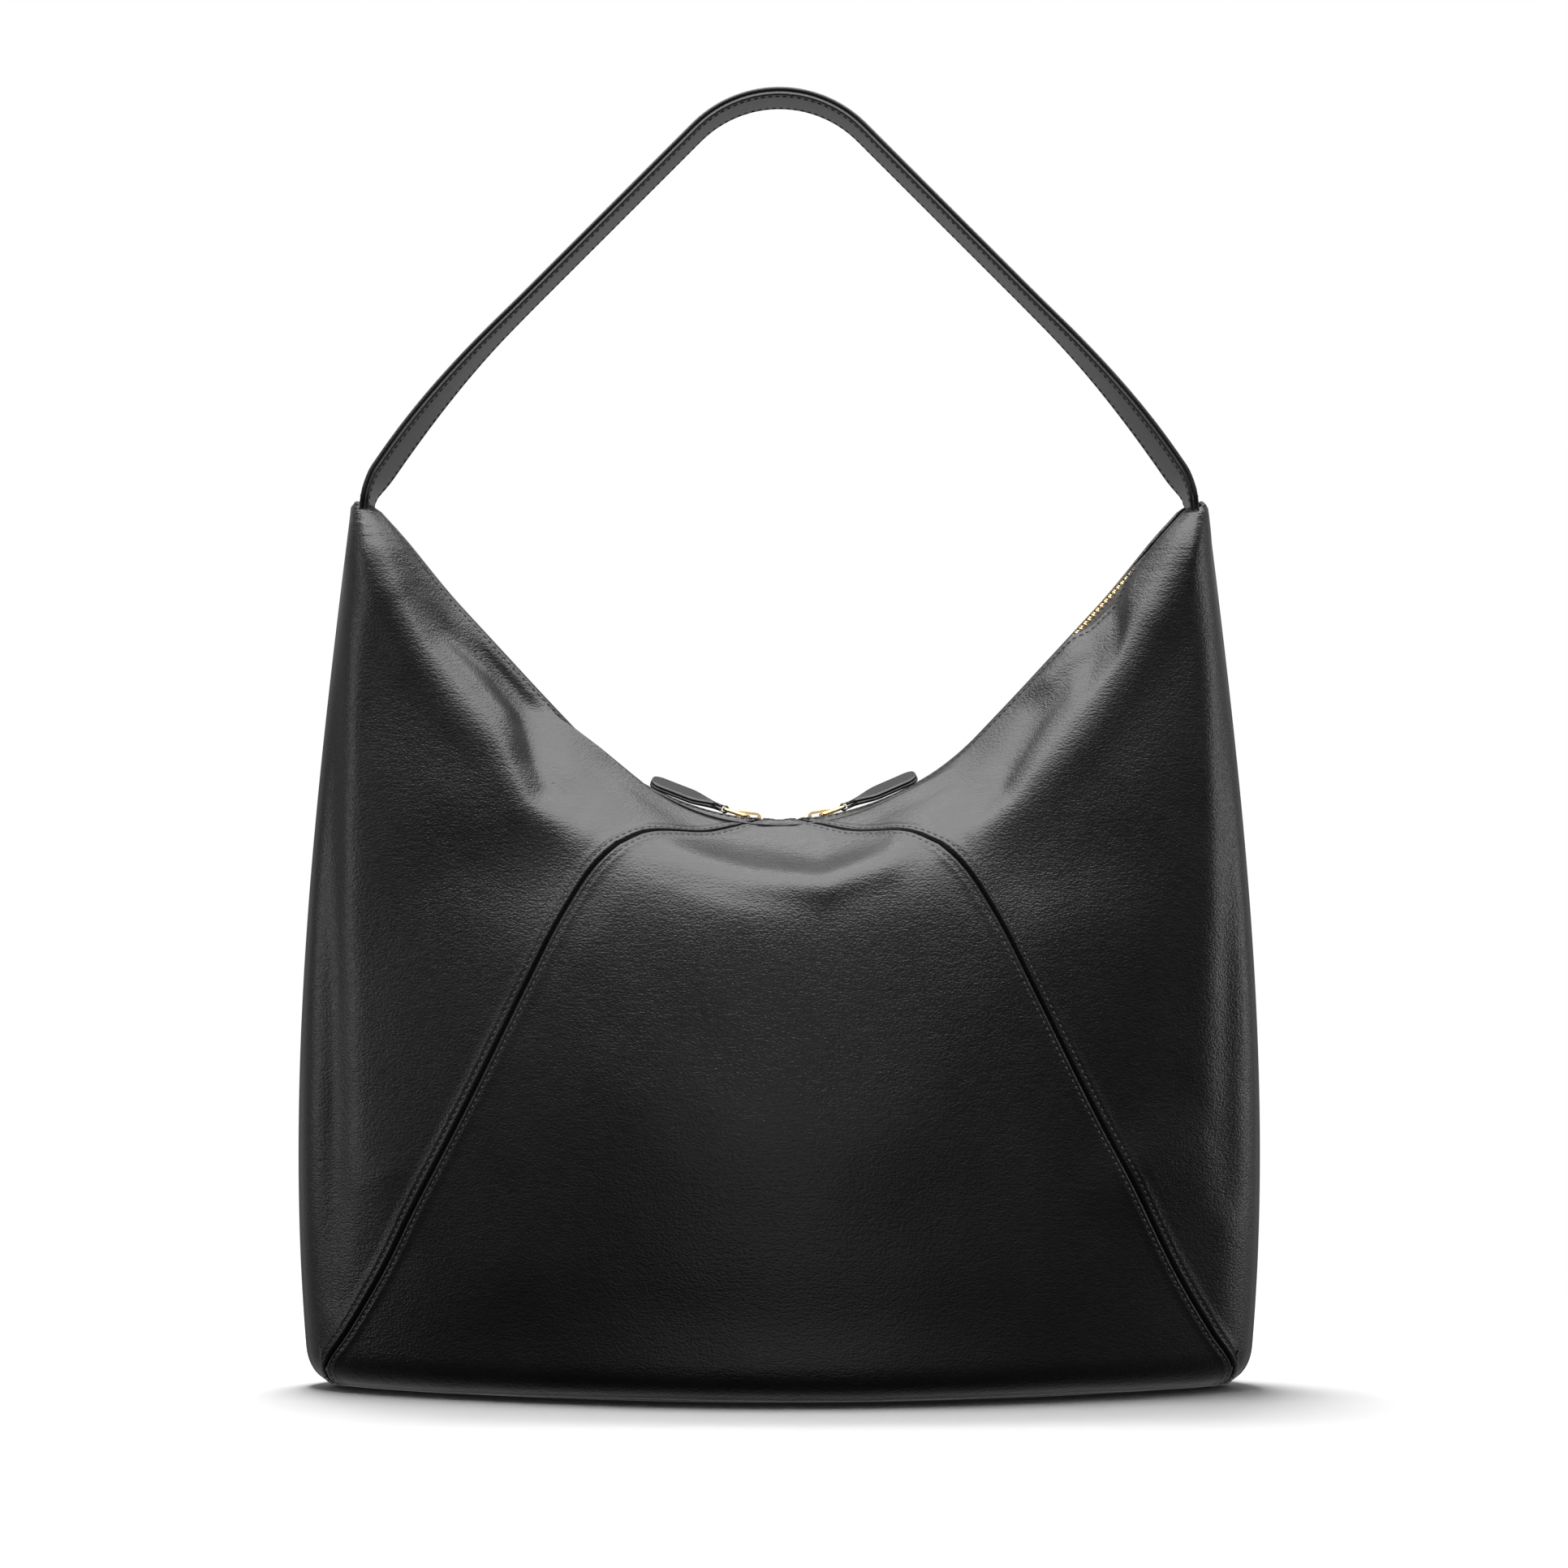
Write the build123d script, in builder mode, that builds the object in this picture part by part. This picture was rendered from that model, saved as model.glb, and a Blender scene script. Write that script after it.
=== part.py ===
from build123d import *
from math import cos, degrees, radians, sin, sqrt
import os

os.makedirs("parts", exist_ok=True)

# A soft leather hobo bag with a V-shaped zipped mouth and one shoulder strap.
# Millimetres. X runs along the bag, -Y is the front, Z is up, and the bag stands
# on z = 0 with its base centred on the origin.

# ---------------------------------------------------------------- driving dimensions

# Body sections: height, half width, half depth at the middle, half depth at the side seams.
BODY_SECTIONS = [
    (0, 196.5, 61, 13),
    (80, 201, 63, 14),
    (230, 194.5, 47, 15),
    (380, 177.5, 21, 18.5),
]
SIDE_BULGE = 5          # how far a side seam stands out past the ends of the front face
BASE_EDGE_RADIUS = 9    # roll of the leather from the faces to the base
PEAK_HEIGHT = 372       # the two tops of the body, where the strap is sewn in

# Mouth line in the front view: an arc with its centre above, then two straight flanks.
MOUTH_RADIUS = 112
MOUTH_BOTTOM = 237
MOUTH_ANGLE = 47.5      # degrees from the bottom of the arc to the flanks, and the flanks' slope
MOUTH_FLAT = 13         # half width of the level strip that carries the zip
SHOULDER_SLOPE = 0.55   # drop of the shoulders per millimetre away from that strip
MOUTH_SLOT = 6          # half width of the slit between the two leather edges

# Leather, lining and board
LEATHER = 1.6
LINING_GAP = 0.15
LINING = 0.8
BOARD = 2.0
BOARD_GAP = 0.1
BOARD_MARGIN = 12
POCKET_GAP = 0.2
POCKET = 0.8
POCKET_HALF_WIDTH = 75
POCKET_BOTTOM = 70
POCKET_TOP = 185

# Diagonal seams of the centre panels, in the front view
SEAM_TOP = (68, 231)
SEAM_MIDDLE = (150, 75)
SEAM_FOOT = (199, 0)
SEAM_AT_MOUTH = 6       # half width of the centre panel where it reaches the zip
FOLD_HALF_DEPTH = 47    # half depth of the body at the top of the seams

# Zip, as depths below the mouth line
FACING_TOP = LEATHER + 0.05
FACING_BOTTOM = 2.7
TAPE_TOP = 2.75
TAPE_BOTTOM = 3.35
CHAIN_TOP = 1.85
CHAIN_BOTTOM = 4.25
FACING_EDGE = 5         # half width between the two facings
ZIP_REACH = 12.5        # half width over the two tapes
TAPE_EDGE = 1.2         # half width between the two tapes' corded edges
CHAIN_INNER = 0.6
CHAIN_OUTER = 3.0
CHAIN_FLANK = 118       # length of the zip on each straight flank
STRIP_FLANK = 122       # the same for the tapes and facings
TAPE_PLAY = 0.02        # between a tape and the slot in its chain
STOP_LENGTH = 3.5
STOP_PLAY = 0.3         # above and below the teeth, and from the last of them

# Strap: an arch in the XZ plane, measured on its outer face
STRAP_WIDTH = 30
STRAP_THICKNESS = 4.0
STRAP_LAYERS = {"strap_outer": (0, 1.5), "strap_core": (1.5, 2.5), "strap_inner": (2.5, STRAP_THICKNESS)}
FOOT_ANGLE = 62         # slope of the foot arc well below the pivot, before it is trimmed
CORE_MARGIN = 2
CROWN_TOP = 541.8
CROWN_RADIUS = 51
FLANK_ANGLE = 45
FLANK_LENGTH = 113
FOOT_RADIUS = 427
STRAP_PIVOT = 388       # height of the axis that the strap bends about, just above the peaks
ROOT_CENTRE = 173
ROOT_BOTTOM = 338
ROOT_TOP = 371.8
ROOT_CLEARANCE = 0.5
ROOT_EDGE_RADIUS = 0.8

# Sliders, rings and pull tabs
SLIDER_ANGLES = {"left": -6.7, "right": 9.0}    # degrees round the mouth arc, at rest
SLIDER_HALF_LENGTH = 5.6
SLIDER_HALF_WIDTH = 4.4
SLIDER_LIP = 1.0
PLATE_TOP = 0.5         # depths below the mouth line
PLATE_BOTTOM = 1.5
UPPER_LIP = 2.5
LOWER_LIP = 3.6
UNDERPLATE_TOP = 4.6
UNDERPLATE_BOTTOM = 5.7
POST_HALF_WIDTH = 0.4
POST_HALF_LENGTH = 2
BAIL_LENGTH = 11
BAIL_HEIGHT = 3.0
BAIL_WIDTH = 2.2
BAIL_CORNER = 2.2
BAIL_SINK = 0.3         # how far the bail's feet run into the slider's plate
BAIL_HOLE_LENGTH = 7.6
BAIL_HOLE_HEIGHT = 2.0
RING_WIRE = 0.8         # radius of the ring's wire
RING_SPAN = 10.4        # from the middle of the inner bar to the middle of the outer bar
RING_WIDTH = 9.8        # between the middles of the two side bars
RING_CORNER = 2.4
RING_DEPTH = -0.45      # depth of the ring's inner bar below the mouth line
RING_TILT = 11          # degrees of the ring above its slider
TAB_LENGTH = 33
TAB_HALF_WIDTH = 6.5
TAB_NECK_HALF_WIDTH = 2.4
TAB_NECK_LENGTH = 3
TAB_THICKNESS = 3.0
TAB_FOLD_RADIUS = 1.9
TAB_HOLE_RADIUS = 1.0
TAB_TILT = 14.5         # degrees of the tab above the slider's line

MOUTH_CENTRE = MOUTH_BOTTOM + MOUTH_RADIUS
BAG_TOP = 700           # above everything that is cut away
BIG = 260               # past every side of the body
MOUTH_CUT_FLOOR = MOUTH_BOTTOM - 30     # where the cuts down into the mouth end


# ---------------------------------------------------------------- body volume

def section_outline(half_width, half_depth, end_depth):
    """Draw one horizontal section: long front and back arcs and two short end arcs."""
    end_x = half_width - SIDE_BULGE
    ThreePointArc((-end_x, -end_depth), (0, -half_depth), (end_x, -end_depth))
    ThreePointArc((end_x, -end_depth), (half_width, 0), (end_x, end_depth))
    ThreePointArc((end_x, end_depth), (0, half_depth), (-end_x, end_depth))
    ThreePointArc((-end_x, end_depth), (-half_width, 0), (-end_x, -end_depth))


def mouth_point(depth, angle, along=0.0):
    """A point on the mouth line, lowered by depth, at an angle round its arc and along its flank."""
    side = 1 if angle > 0 else -1
    radius = MOUTH_RADIUS + depth
    x = radius * sin(radians(angle)) + side * along * cos(radians(MOUTH_ANGLE))
    z = MOUTH_CENTRE - radius * cos(radians(angle)) + along * sin(radians(MOUTH_ANGLE))
    return (x, z)


def mouth_line(depth, flank):
    """Draw the mouth line at a depth, with straight flanks of the given length."""
    Line(mouth_point(depth, -MOUTH_ANGLE, flank), mouth_point(depth, -MOUTH_ANGLE))
    ThreePointArc(
        mouth_point(depth, -MOUTH_ANGLE),
        (0, MOUTH_BOTTOM - depth),
        mouth_point(depth, MOUTH_ANGLE),
    )
    Line(mouth_point(depth, MOUTH_ANGLE), mouth_point(depth, MOUTH_ANGLE, flank))


def sky(depth):
    """Everything above the mouth line and its shoulders, lowered by depth."""
    slope_length = BIG * sqrt(1 + SHOULDER_SLOPE**2)
    with BuildPart() as above:
        with BuildSketch(Plane.XZ.offset(MOUTH_FLAT)) as outline:
            with BuildLine():
                mouth_line(depth, BIG)
                left_x, left_z = mouth_point(depth, -MOUTH_ANGLE, BIG)
                Polyline((left_x, left_z), (left_x, BAG_TOP), (-left_x, BAG_TOP), (-left_x, left_z))
            make_face()
        extrude(outline.sketch, amount=slope_length, dir=(0, -1, -SHOULDER_SLOPE))
        extrude(outline.sketch, amount=-MOUTH_FLAT, dir=(0, -1, 0))
        mirror(about=Plane.XZ)
    return above.part


def bag_volume(inset):
    """The body as a solid, drawn in by inset on every side."""
    with BuildPart() as volume:
        for height, half_width, half_depth, end_depth in BODY_SECTIONS:
            with BuildSketch(Plane.XY.offset(height)):
                with BuildLine():
                    section_outline(half_width - inset, half_depth - inset, end_depth - inset)
                make_face()
        loft()
        if inset:
            split(bisect_by=Plane.XY.offset(inset), keep=Keep.TOP)
        base_edges = volume.faces().sort_by(Axis.Z)[0].edges()
        fillet(base_edges, BASE_EDGE_RADIUS - inset)
        add(sky(inset), mode=Mode.SUBTRACT)
        split(bisect_by=Plane.XY.offset(PEAK_HEIGHT), keep=Keep.BOTTOM)
    return volume.part


def shell(outer_inset, thickness):
    """A hollow skin that follows the body."""
    with BuildPart() as skin:
        add(bag_volume(outer_inset))
        add(bag_volume(outer_inset + thickness), mode=Mode.SUBTRACT)
    return skin.part


with BuildPart() as mouth_slit:
    with BuildSketch(Plane.XY.offset(MOUTH_CUT_FLOOR)):
        Rectangle(2 * ROOT_CENTRE, 2 * MOUTH_SLOT)
    extrude(amount=BAG_TOP)

with BuildPart() as lining_slit:
    with BuildSketch(Plane.XY.offset(MOUTH_CUT_FLOOR)):
        Rectangle(2 * BIG, 2 * MOUTH_FLAT)
    extrude(amount=BAG_TOP)

with BuildPart() as root_pockets:
    with BuildSketch(Plane.XY.offset(ROOT_BOTTOM - 1)):
        with Locations((-ROOT_CENTRE, 0), (ROOT_CENTRE, 0)):
            Rectangle(STRAP_THICKNESS + 2 * ROOT_CLEARANCE, STRAP_WIDTH + 2 * ROOT_CLEARANCE)
    extrude(amount=BAG_TOP)

# The centre panels' share of the body: up the two faces, and over the shoulders to the zip
with BuildPart() as centre_region:
    with BuildSketch(Plane.XZ):
        with BuildLine():
            right_seam = (SEAM_FOOT, SEAM_MIDDLE, SEAM_TOP)
            left_seam = [(-x, z) for x, z in reversed(right_seam)]
            Polyline(*right_seam, *left_seam, close=True)
        make_face()
    extrude(amount=BIG, both=True)
    with BuildSketch(Plane.XY.offset(MOUTH_CUT_FLOOR)):
        with BuildLine():
            Polyline(
                (-SEAM_TOP[0], FOLD_HALF_DEPTH),
                (SEAM_TOP[0], FOLD_HALF_DEPTH),
                (SEAM_AT_MOUTH, MOUTH_SLOT),
                (-SEAM_AT_MOUTH, MOUTH_SLOT),
                close=True,
            )
        make_face()
        mirror(about=Plane.XZ)
        Rectangle(2 * SEAM_AT_MOUTH, 2 * MOUTH_SLOT)
    extrude(amount=MOUTH_RADIUS)

_, base_half_width, base_half_depth, base_end_depth = BODY_SECTIONS[0]
base_margin = BASE_EDGE_RADIUS + 1

with BuildPart() as base_region:
    with BuildSketch(Plane.XY):
        with BuildLine():
            section_outline(
                base_half_width - base_margin,
                base_half_depth - base_margin,
                base_end_depth - base_margin,
            )
        make_face()
    extrude(amount=LEATHER + 1)

with BuildPart() as leather_shell:
    add(shell(0, LEATHER))
    add(mouth_slit.part, mode=Mode.SUBTRACT)
    add(root_pockets.part, mode=Mode.SUBTRACT)


# ---------------------------------------------------------------- leather panels

def keep_side(name):
    """Keep the half of the current part that its name speaks of."""
    front = "front" in name
    split(bisect_by=Plane.XZ, keep=Keep.TOP if front else Keep.BOTTOM)
    if "left" in name:
        split(bisect_by=Plane.YZ, keep=Keep.BOTTOM)
    if "right" in name:
        split(bisect_by=Plane.YZ, keep=Keep.TOP)


def save(name, part):
    """Label a finished piece and write it."""
    part.label = name
    export_step(part, f"parts/{name}.step")


for panel_name in ("front_centre_panel", "back_centre_panel"):
    with BuildPart() as centre_panel:
        add(leather_shell.part)
        add(centre_region.part, mode=Mode.INTERSECT)
        add(base_region.part, mode=Mode.SUBTRACT)
        keep_side(panel_name)
    save(panel_name, centre_panel.part)

for panel_name in ("front_left_wing", "front_right_wing", "back_left_wing", "back_right_wing"):
    with BuildPart() as wing:
        add(leather_shell.part)
        add(centre_region.part, mode=Mode.SUBTRACT)
        add(base_region.part, mode=Mode.SUBTRACT)
        keep_side(panel_name)
    save(panel_name, wing.part)

with BuildPart() as base_panel:
    add(leather_shell.part)
    add(base_region.part, mode=Mode.INTERSECT)
save("base_panel", base_panel.part)

# Stiffening board, loose between the base leather and the lining
with BuildPart() as base_board:
    with BuildSketch(Plane.XY.offset(LEATHER + BOARD_GAP)):
        with BuildLine():
            section_outline(
                base_half_width - BOARD_MARGIN,
                base_half_depth - BOARD_MARGIN,
                base_end_depth / 2,
            )
        make_face()
    extrude(amount=BOARD)
save("base_board", base_board.part)


# ---------------------------------------------------------------- lining and pocket

lining_inset = LEATHER + LINING_GAP
lining_floor = LEATHER + BOARD + 2 * BOARD_GAP

with BuildPart() as lining_space:
    add(bag_volume(lining_inset + LINING))
    split(bisect_by=Plane.XY.offset(lining_floor + LINING), keep=Keep.TOP)

with BuildPart() as lining_shell:
    add(bag_volume(lining_inset))
    split(bisect_by=Plane.XY.offset(lining_floor), keep=Keep.TOP)
    add(lining_space.part, mode=Mode.SUBTRACT)
    add(lining_slit.part, mode=Mode.SUBTRACT)
    add(root_pockets.part, mode=Mode.SUBTRACT)

for lining_name in ("lining_front", "lining_back"):
    with BuildPart() as lining:
        add(lining_shell.part)
        keep_side(lining_name)
    save(lining_name, lining.part)

with BuildPart() as inner_pocket:
    add(shell(lining_inset + LINING + POCKET_GAP, POCKET))
    with BuildSketch(Plane.XZ) as pocket_outline:
        with Locations((0, (POCKET_BOTTOM + POCKET_TOP) / 2)):
            Rectangle(2 * POCKET_HALF_WIDTH, POCKET_TOP - POCKET_BOTTOM)
    extrude(pocket_outline.sketch, amount=-BIG, mode=Mode.INTERSECT)
save("inner_pocket", inner_pocket.part)


# ---------------------------------------------------------------- zip

def mouth_strip(top, bottom, inner, outer, flank):
    """A strip along the front half of the mouth, between two depths and two distances from y = 0."""
    with BuildPart() as strip:
        with BuildSketch(Plane.XZ.offset(inner)):
            with BuildLine():
                mouth_line(top, flank)
                mouth_line(bottom, flank)
                for angle in (-MOUTH_ANGLE, MOUTH_ANGLE):
                    Line(mouth_point(top, angle, flank), mouth_point(bottom, angle, flank))
            make_face()
        extrude(amount=outer - inner)
    return strip.part


zip_strips = {
    "zip_facing": (FACING_TOP, FACING_BOTTOM, FACING_EDGE, ZIP_REACH, STRIP_FLANK),
    "zip_tape": (TAPE_TOP, TAPE_BOTTOM, TAPE_EDGE, ZIP_REACH, STRIP_FLANK),
    "zip_chain": (CHAIN_TOP, CHAIN_BOTTOM, CHAIN_INNER, CHAIN_OUTER, CHAIN_FLANK),
}
tape_slot = mouth_strip(
    TAPE_TOP - TAPE_PLAY, TAPE_BOTTOM + TAPE_PLAY, TAPE_EDGE - TAPE_PLAY, ZIP_REACH, STRIP_FLANK
)

for strip_name, strip_size in zip_strips.items():
    with BuildPart() as front_strip:
        add(mouth_strip(*strip_size))
        if strip_name == "zip_chain":
            add(tape_slot, mode=Mode.SUBTRACT)
    save(strip_name + "_front", front_strip.part)
    with BuildPart() as back_strip:
        mirror(front_strip.part, about=Plane.XZ)
    save(strip_name + "_back", back_strip.part)

# End stops: one metal clip over both chains' last teeth at each end
for side, side_name in ((-1, "left"), (1, "right")):
    stop_x, stop_z = mouth_point(0, side * MOUTH_ANGLE, CHAIN_FLANK + STOP_PLAY)
    stop_plane = Plane(
        origin=(stop_x, 0, stop_z),
        x_dir=(cos(radians(MOUTH_ANGLE)), 0, side * sin(radians(MOUTH_ANGLE))),
        z_dir=(0, -1, 0),
    )
    with BuildPart() as zip_stop:
        with BuildSketch(stop_plane):
            with Locations((side * STOP_LENGTH / 2, -(CHAIN_TOP + CHAIN_BOTTOM) / 2)):
                RectangleRounded(STOP_LENGTH, CHAIN_BOTTOM - CHAIN_TOP + 2 * STOP_PLAY, STOP_PLAY)
        extrude(amount=TAPE_EDGE - STOP_PLAY, both=True)
    save(f"zip_stop_{side_name}", zip_stop.part)


# ---------------------------------------------------------------- strap

crown_centre = CROWN_TOP - CROWN_RADIUS
flank_direction = (cos(radians(FLANK_ANGLE)), -sin(radians(FLANK_ANGLE)))
crown_end = (
    CROWN_RADIUS * sin(radians(FLANK_ANGLE)),
    crown_centre + CROWN_RADIUS * cos(radians(FLANK_ANGLE)),
)
foot_start = (
    crown_end[0] + FLANK_LENGTH * flank_direction[0],
    crown_end[1] + FLANK_LENGTH * flank_direction[1],
)
foot_centre = (
    foot_start[0] - FOOT_RADIUS * sin(radians(FLANK_ANGLE)),
    foot_start[1] - FOOT_RADIUS * cos(radians(FLANK_ANGLE)),
)


def arch_point(depth, angle, centre, radius):
    """A point on one of the strap's arcs, at a depth below its outer face, where it slopes by angle."""
    reach = radius - depth
    return (centre[0] + reach * sin(radians(angle)), centre[1] + reach * cos(radians(angle)))


def arch_line(depth):
    """Draw the strap's arch at a depth below its outer face."""
    crown = [arch_point(depth, a, (0, crown_centre), CROWN_RADIUS) for a in (FLANK_ANGLE, 0)]
    mid_angle = (FLANK_ANGLE + FOOT_ANGLE) / 2
    foot = [
        arch_point(depth, a, foot_centre, FOOT_RADIUS) for a in (FLANK_ANGLE, mid_angle, FOOT_ANGLE)
    ]
    ThreePointArc((-crown[0][0], crown[0][1]), crown[1], crown[0])
    Line(crown[0], foot[0])
    ThreePointArc(*foot)
    Line((-crown[0][0], crown[0][1]), (-foot[0][0], foot[0][1]))
    ThreePointArc(*[(-x, z) for x, z in foot])


with BuildPart() as below_round_ends:
    with BuildSketch(Plane.YZ):
        with Locations((0, STRAP_PIVOT)):
            Rectangle(2 * STRAP_WIDTH, STRAP_PIVOT, align=(Align.CENTER, Align.MAX))
            Circle(STRAP_WIDTH / 2, mode=Mode.SUBTRACT)
    extrude(amount=BIG, both=True)

for layer_name, (layer_top, layer_bottom) in STRAP_LAYERS.items():
    margin = CORE_MARGIN if layer_name == "strap_core" else 0
    with BuildPart() as strap_layer:
        with BuildSketch(Plane.XZ):
            with BuildLine():
                arch_line(layer_top)
                arch_line(layer_bottom)
                for end in (-1, 1):
                    top_x, top_z = arch_point(layer_top, FOOT_ANGLE, foot_centre, FOOT_RADIUS)
                    low_x, low_z = arch_point(layer_bottom, FOOT_ANGLE, foot_centre, FOOT_RADIUS)
                    Line((end * top_x, top_z), (end * low_x, low_z))
            make_face()
        extrude(amount=STRAP_WIDTH / 2 - margin, both=True)
        add(below_round_ends.part, mode=Mode.SUBTRACT)
    save(layer_name, strap_layer.part)

# The strap's two ends, sewn in between the walls of the peaks
for side, side_name in ((-1, "left"), (1, "right")):
    with BuildPart() as strap_root:
        with BuildSketch(Plane.XY.offset(ROOT_BOTTOM)):
            with Locations((side * ROOT_CENTRE, 0)):
                Rectangle(STRAP_THICKNESS, STRAP_WIDTH)
        extrude(amount=ROOT_TOP - ROOT_BOTTOM)
        fillet(strap_root.edges().filter_by(Axis.Z), ROOT_EDGE_RADIUS)
    save(f"strap_root_{side_name}", strap_root.part)


# ---------------------------------------------------------------- sliders, rings, tabs

def arc_band(top, bottom, half_length):
    """Draw the outline of a band round the mouth's centre, between two depths."""
    half_angle = degrees(half_length / MOUTH_RADIUS)
    for depth in (top, bottom):
        CenterArc((0, 0), MOUTH_RADIUS + depth, -90 - half_angle, 2 * half_angle)
    for end_angle in (radians(-half_angle), radians(half_angle)):
        Line(
            ((MOUTH_RADIUS + top) * sin(end_angle), -(MOUTH_RADIUS + top) * cos(end_angle)),
            ((MOUTH_RADIUS + bottom) * sin(end_angle), -(MOUTH_RADIUS + bottom) * cos(end_angle)),
        )


# The slider's bands: top depth, bottom depth, half length, and from where to where across
lip_inner = SLIDER_HALF_WIDTH - SLIDER_LIP
slider_bands = (
    (PLATE_TOP, PLATE_BOTTOM, SLIDER_HALF_LENGTH, 0, SLIDER_HALF_WIDTH),
    (PLATE_BOTTOM, UPPER_LIP, SLIDER_HALF_LENGTH, lip_inner, SLIDER_HALF_WIDTH),
    (PLATE_BOTTOM, UNDERPLATE_TOP, POST_HALF_LENGTH, 0, POST_HALF_WIDTH),
    (LOWER_LIP, UNDERPLATE_TOP, SLIDER_HALF_LENGTH, lip_inner, SLIDER_HALF_WIDTH),
    (UNDERPLATE_TOP, UNDERPLATE_BOTTOM, SLIDER_HALF_LENGTH, 0, SLIDER_HALF_WIDTH),
)
bail_foot = -MOUTH_RADIUS - PLATE_TOP

for side_name, rest_angle in SLIDER_ANGLES.items():
    side = 1 if rest_angle > 0 else -1
    along = (cos(radians(rest_angle)), 0, sin(radians(rest_angle)))
    slider_plane = Plane(origin=(0, 0, MOUTH_CENTRE), x_dir=along, z_dir=(0, -1, 0))

    with BuildPart() as slider:
        for top, bottom, half_length, inner, outer in slider_bands:
            with BuildSketch(slider_plane.offset(inner)):
                with BuildLine():
                    arc_band(top, bottom, half_length)
                make_face()
            extrude(amount=outer - inner)
        with BuildSketch(slider_plane) as bail_outline:
            with Locations((0, bail_foot - BAIL_SINK)):
                Rectangle(BAIL_LENGTH, BAIL_HEIGHT + BAIL_SINK, align=(Align.CENTER, Align.MIN))
            fillet(bail_outline.vertices().group_by(Axis.Y)[-1], BAIL_CORNER)
            with Locations((0, bail_foot)):
                Rectangle(
                    BAIL_HOLE_LENGTH,
                    BAIL_HOLE_HEIGHT,
                    align=(Align.CENTER, Align.MIN),
                    mode=Mode.SUBTRACT,
                )
        extrude(amount=BAIL_WIDTH / 2)
        mirror(about=Plane.XZ)
    save(f"slider_{side_name}", slider.part)

    # The ring: its inner bar lies in the bail, its outer bar in the tab's fold
    hub_radius = MOUTH_RADIUS + RING_DEPTH
    hub_x = hub_radius * sin(radians(rest_angle))
    hub_z = MOUTH_CENTRE - hub_radius * cos(radians(rest_angle))
    ring_slope = radians(abs(rest_angle) + RING_TILT)
    ring_plane = Plane(
        origin=(hub_x, 0, hub_z),
        x_dir=(side * cos(ring_slope), 0, sin(ring_slope)),
        z_dir=(-side * sin(ring_slope), 0, cos(ring_slope)),
    )
    with BuildPart() as pull_ring:
        with BuildLine(ring_plane) as ring_path:
            FilletPolyline(
                (0, RING_WIDTH / 2),
                (RING_SPAN, RING_WIDTH / 2),
                (RING_SPAN, -RING_WIDTH / 2),
                (0, -RING_WIDTH / 2),
                radius=RING_CORNER,
                close=True,
            )
        with BuildSketch(Plane(origin=ring_path.wire() @ 0, z_dir=ring_path.wire() % 0)):
            Circle(RING_WIRE)
        sweep()
    save(f"pull_ring_{side_name}", pull_ring.part)

    # The tab: a leather strip folded round the ring's outer bar
    tab_slope = radians(abs(rest_angle) + TAB_TILT)
    bar_x = hub_x + side * RING_SPAN * cos(ring_slope)
    bar_z = hub_z + RING_SPAN * sin(ring_slope)
    tab_plane = Plane(
        origin=(bar_x, 0, bar_z),
        x_dir=(cos(tab_slope), 0, side * sin(tab_slope)),
        z_dir=(0, -1, 0),
    )
    with BuildPart() as pull_tab:
        with BuildSketch(tab_plane):
            Circle(TAB_FOLD_RADIUS)
            with Locations((side * TAB_LENGTH / 2, 0)):
                Rectangle(TAB_LENGTH, TAB_THICKNESS)
            Circle(TAB_HOLE_RADIUS, mode=Mode.SUBTRACT)
        extrude(amount=TAB_NECK_HALF_WIDTH, both=True)
        with BuildSketch(tab_plane):
            with Locations((side * (TAB_LENGTH + TAB_NECK_LENGTH) / 2, 0)):
                Rectangle(TAB_LENGTH - TAB_NECK_LENGTH, TAB_THICKNESS)
        extrude(amount=TAB_HALF_WIDTH, both=True)
    save(f"pull_tab_{side_name}", pull_tab.part)
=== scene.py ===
from math import cos, pi, radians, sin

import bpy
import numpy as np
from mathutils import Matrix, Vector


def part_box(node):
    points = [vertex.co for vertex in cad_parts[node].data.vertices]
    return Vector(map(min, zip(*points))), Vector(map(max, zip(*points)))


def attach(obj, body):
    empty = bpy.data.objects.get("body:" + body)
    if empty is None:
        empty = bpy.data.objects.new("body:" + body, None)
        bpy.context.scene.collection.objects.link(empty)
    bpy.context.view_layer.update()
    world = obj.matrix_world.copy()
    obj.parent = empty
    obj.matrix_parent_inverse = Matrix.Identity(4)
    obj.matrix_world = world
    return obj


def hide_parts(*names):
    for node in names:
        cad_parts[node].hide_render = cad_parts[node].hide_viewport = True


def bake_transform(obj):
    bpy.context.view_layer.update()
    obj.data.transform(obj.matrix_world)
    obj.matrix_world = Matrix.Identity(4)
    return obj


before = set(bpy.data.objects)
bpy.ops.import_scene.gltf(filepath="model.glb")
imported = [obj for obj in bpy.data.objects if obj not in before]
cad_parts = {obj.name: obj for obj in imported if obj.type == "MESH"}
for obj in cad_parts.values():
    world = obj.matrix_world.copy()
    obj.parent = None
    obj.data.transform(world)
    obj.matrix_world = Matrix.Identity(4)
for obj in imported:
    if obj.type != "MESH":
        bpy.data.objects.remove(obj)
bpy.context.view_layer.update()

# A soft leather hobo bag: every shape below is worked out in millimetres and made in metres.
MM = 0.001

# ---------------------------------------------------------------- the frame's dimensions

# Body sections: height, half width, half depth at the middle, half depth at the side seams.
SECTION_HEIGHTS = (0, 80, 230, 380)
SECTION_HALF_WIDTHS = (196.5, 201, 194.5, 177.5)
SECTION_HALF_DEPTHS = (61, 63, 52, 24)
SECTION_END_DEPTHS = (13, 14, 15, 18.5)
SIDE_BULGE = 5
PEAK_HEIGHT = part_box("front_left_wing")[1].z / MM

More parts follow.
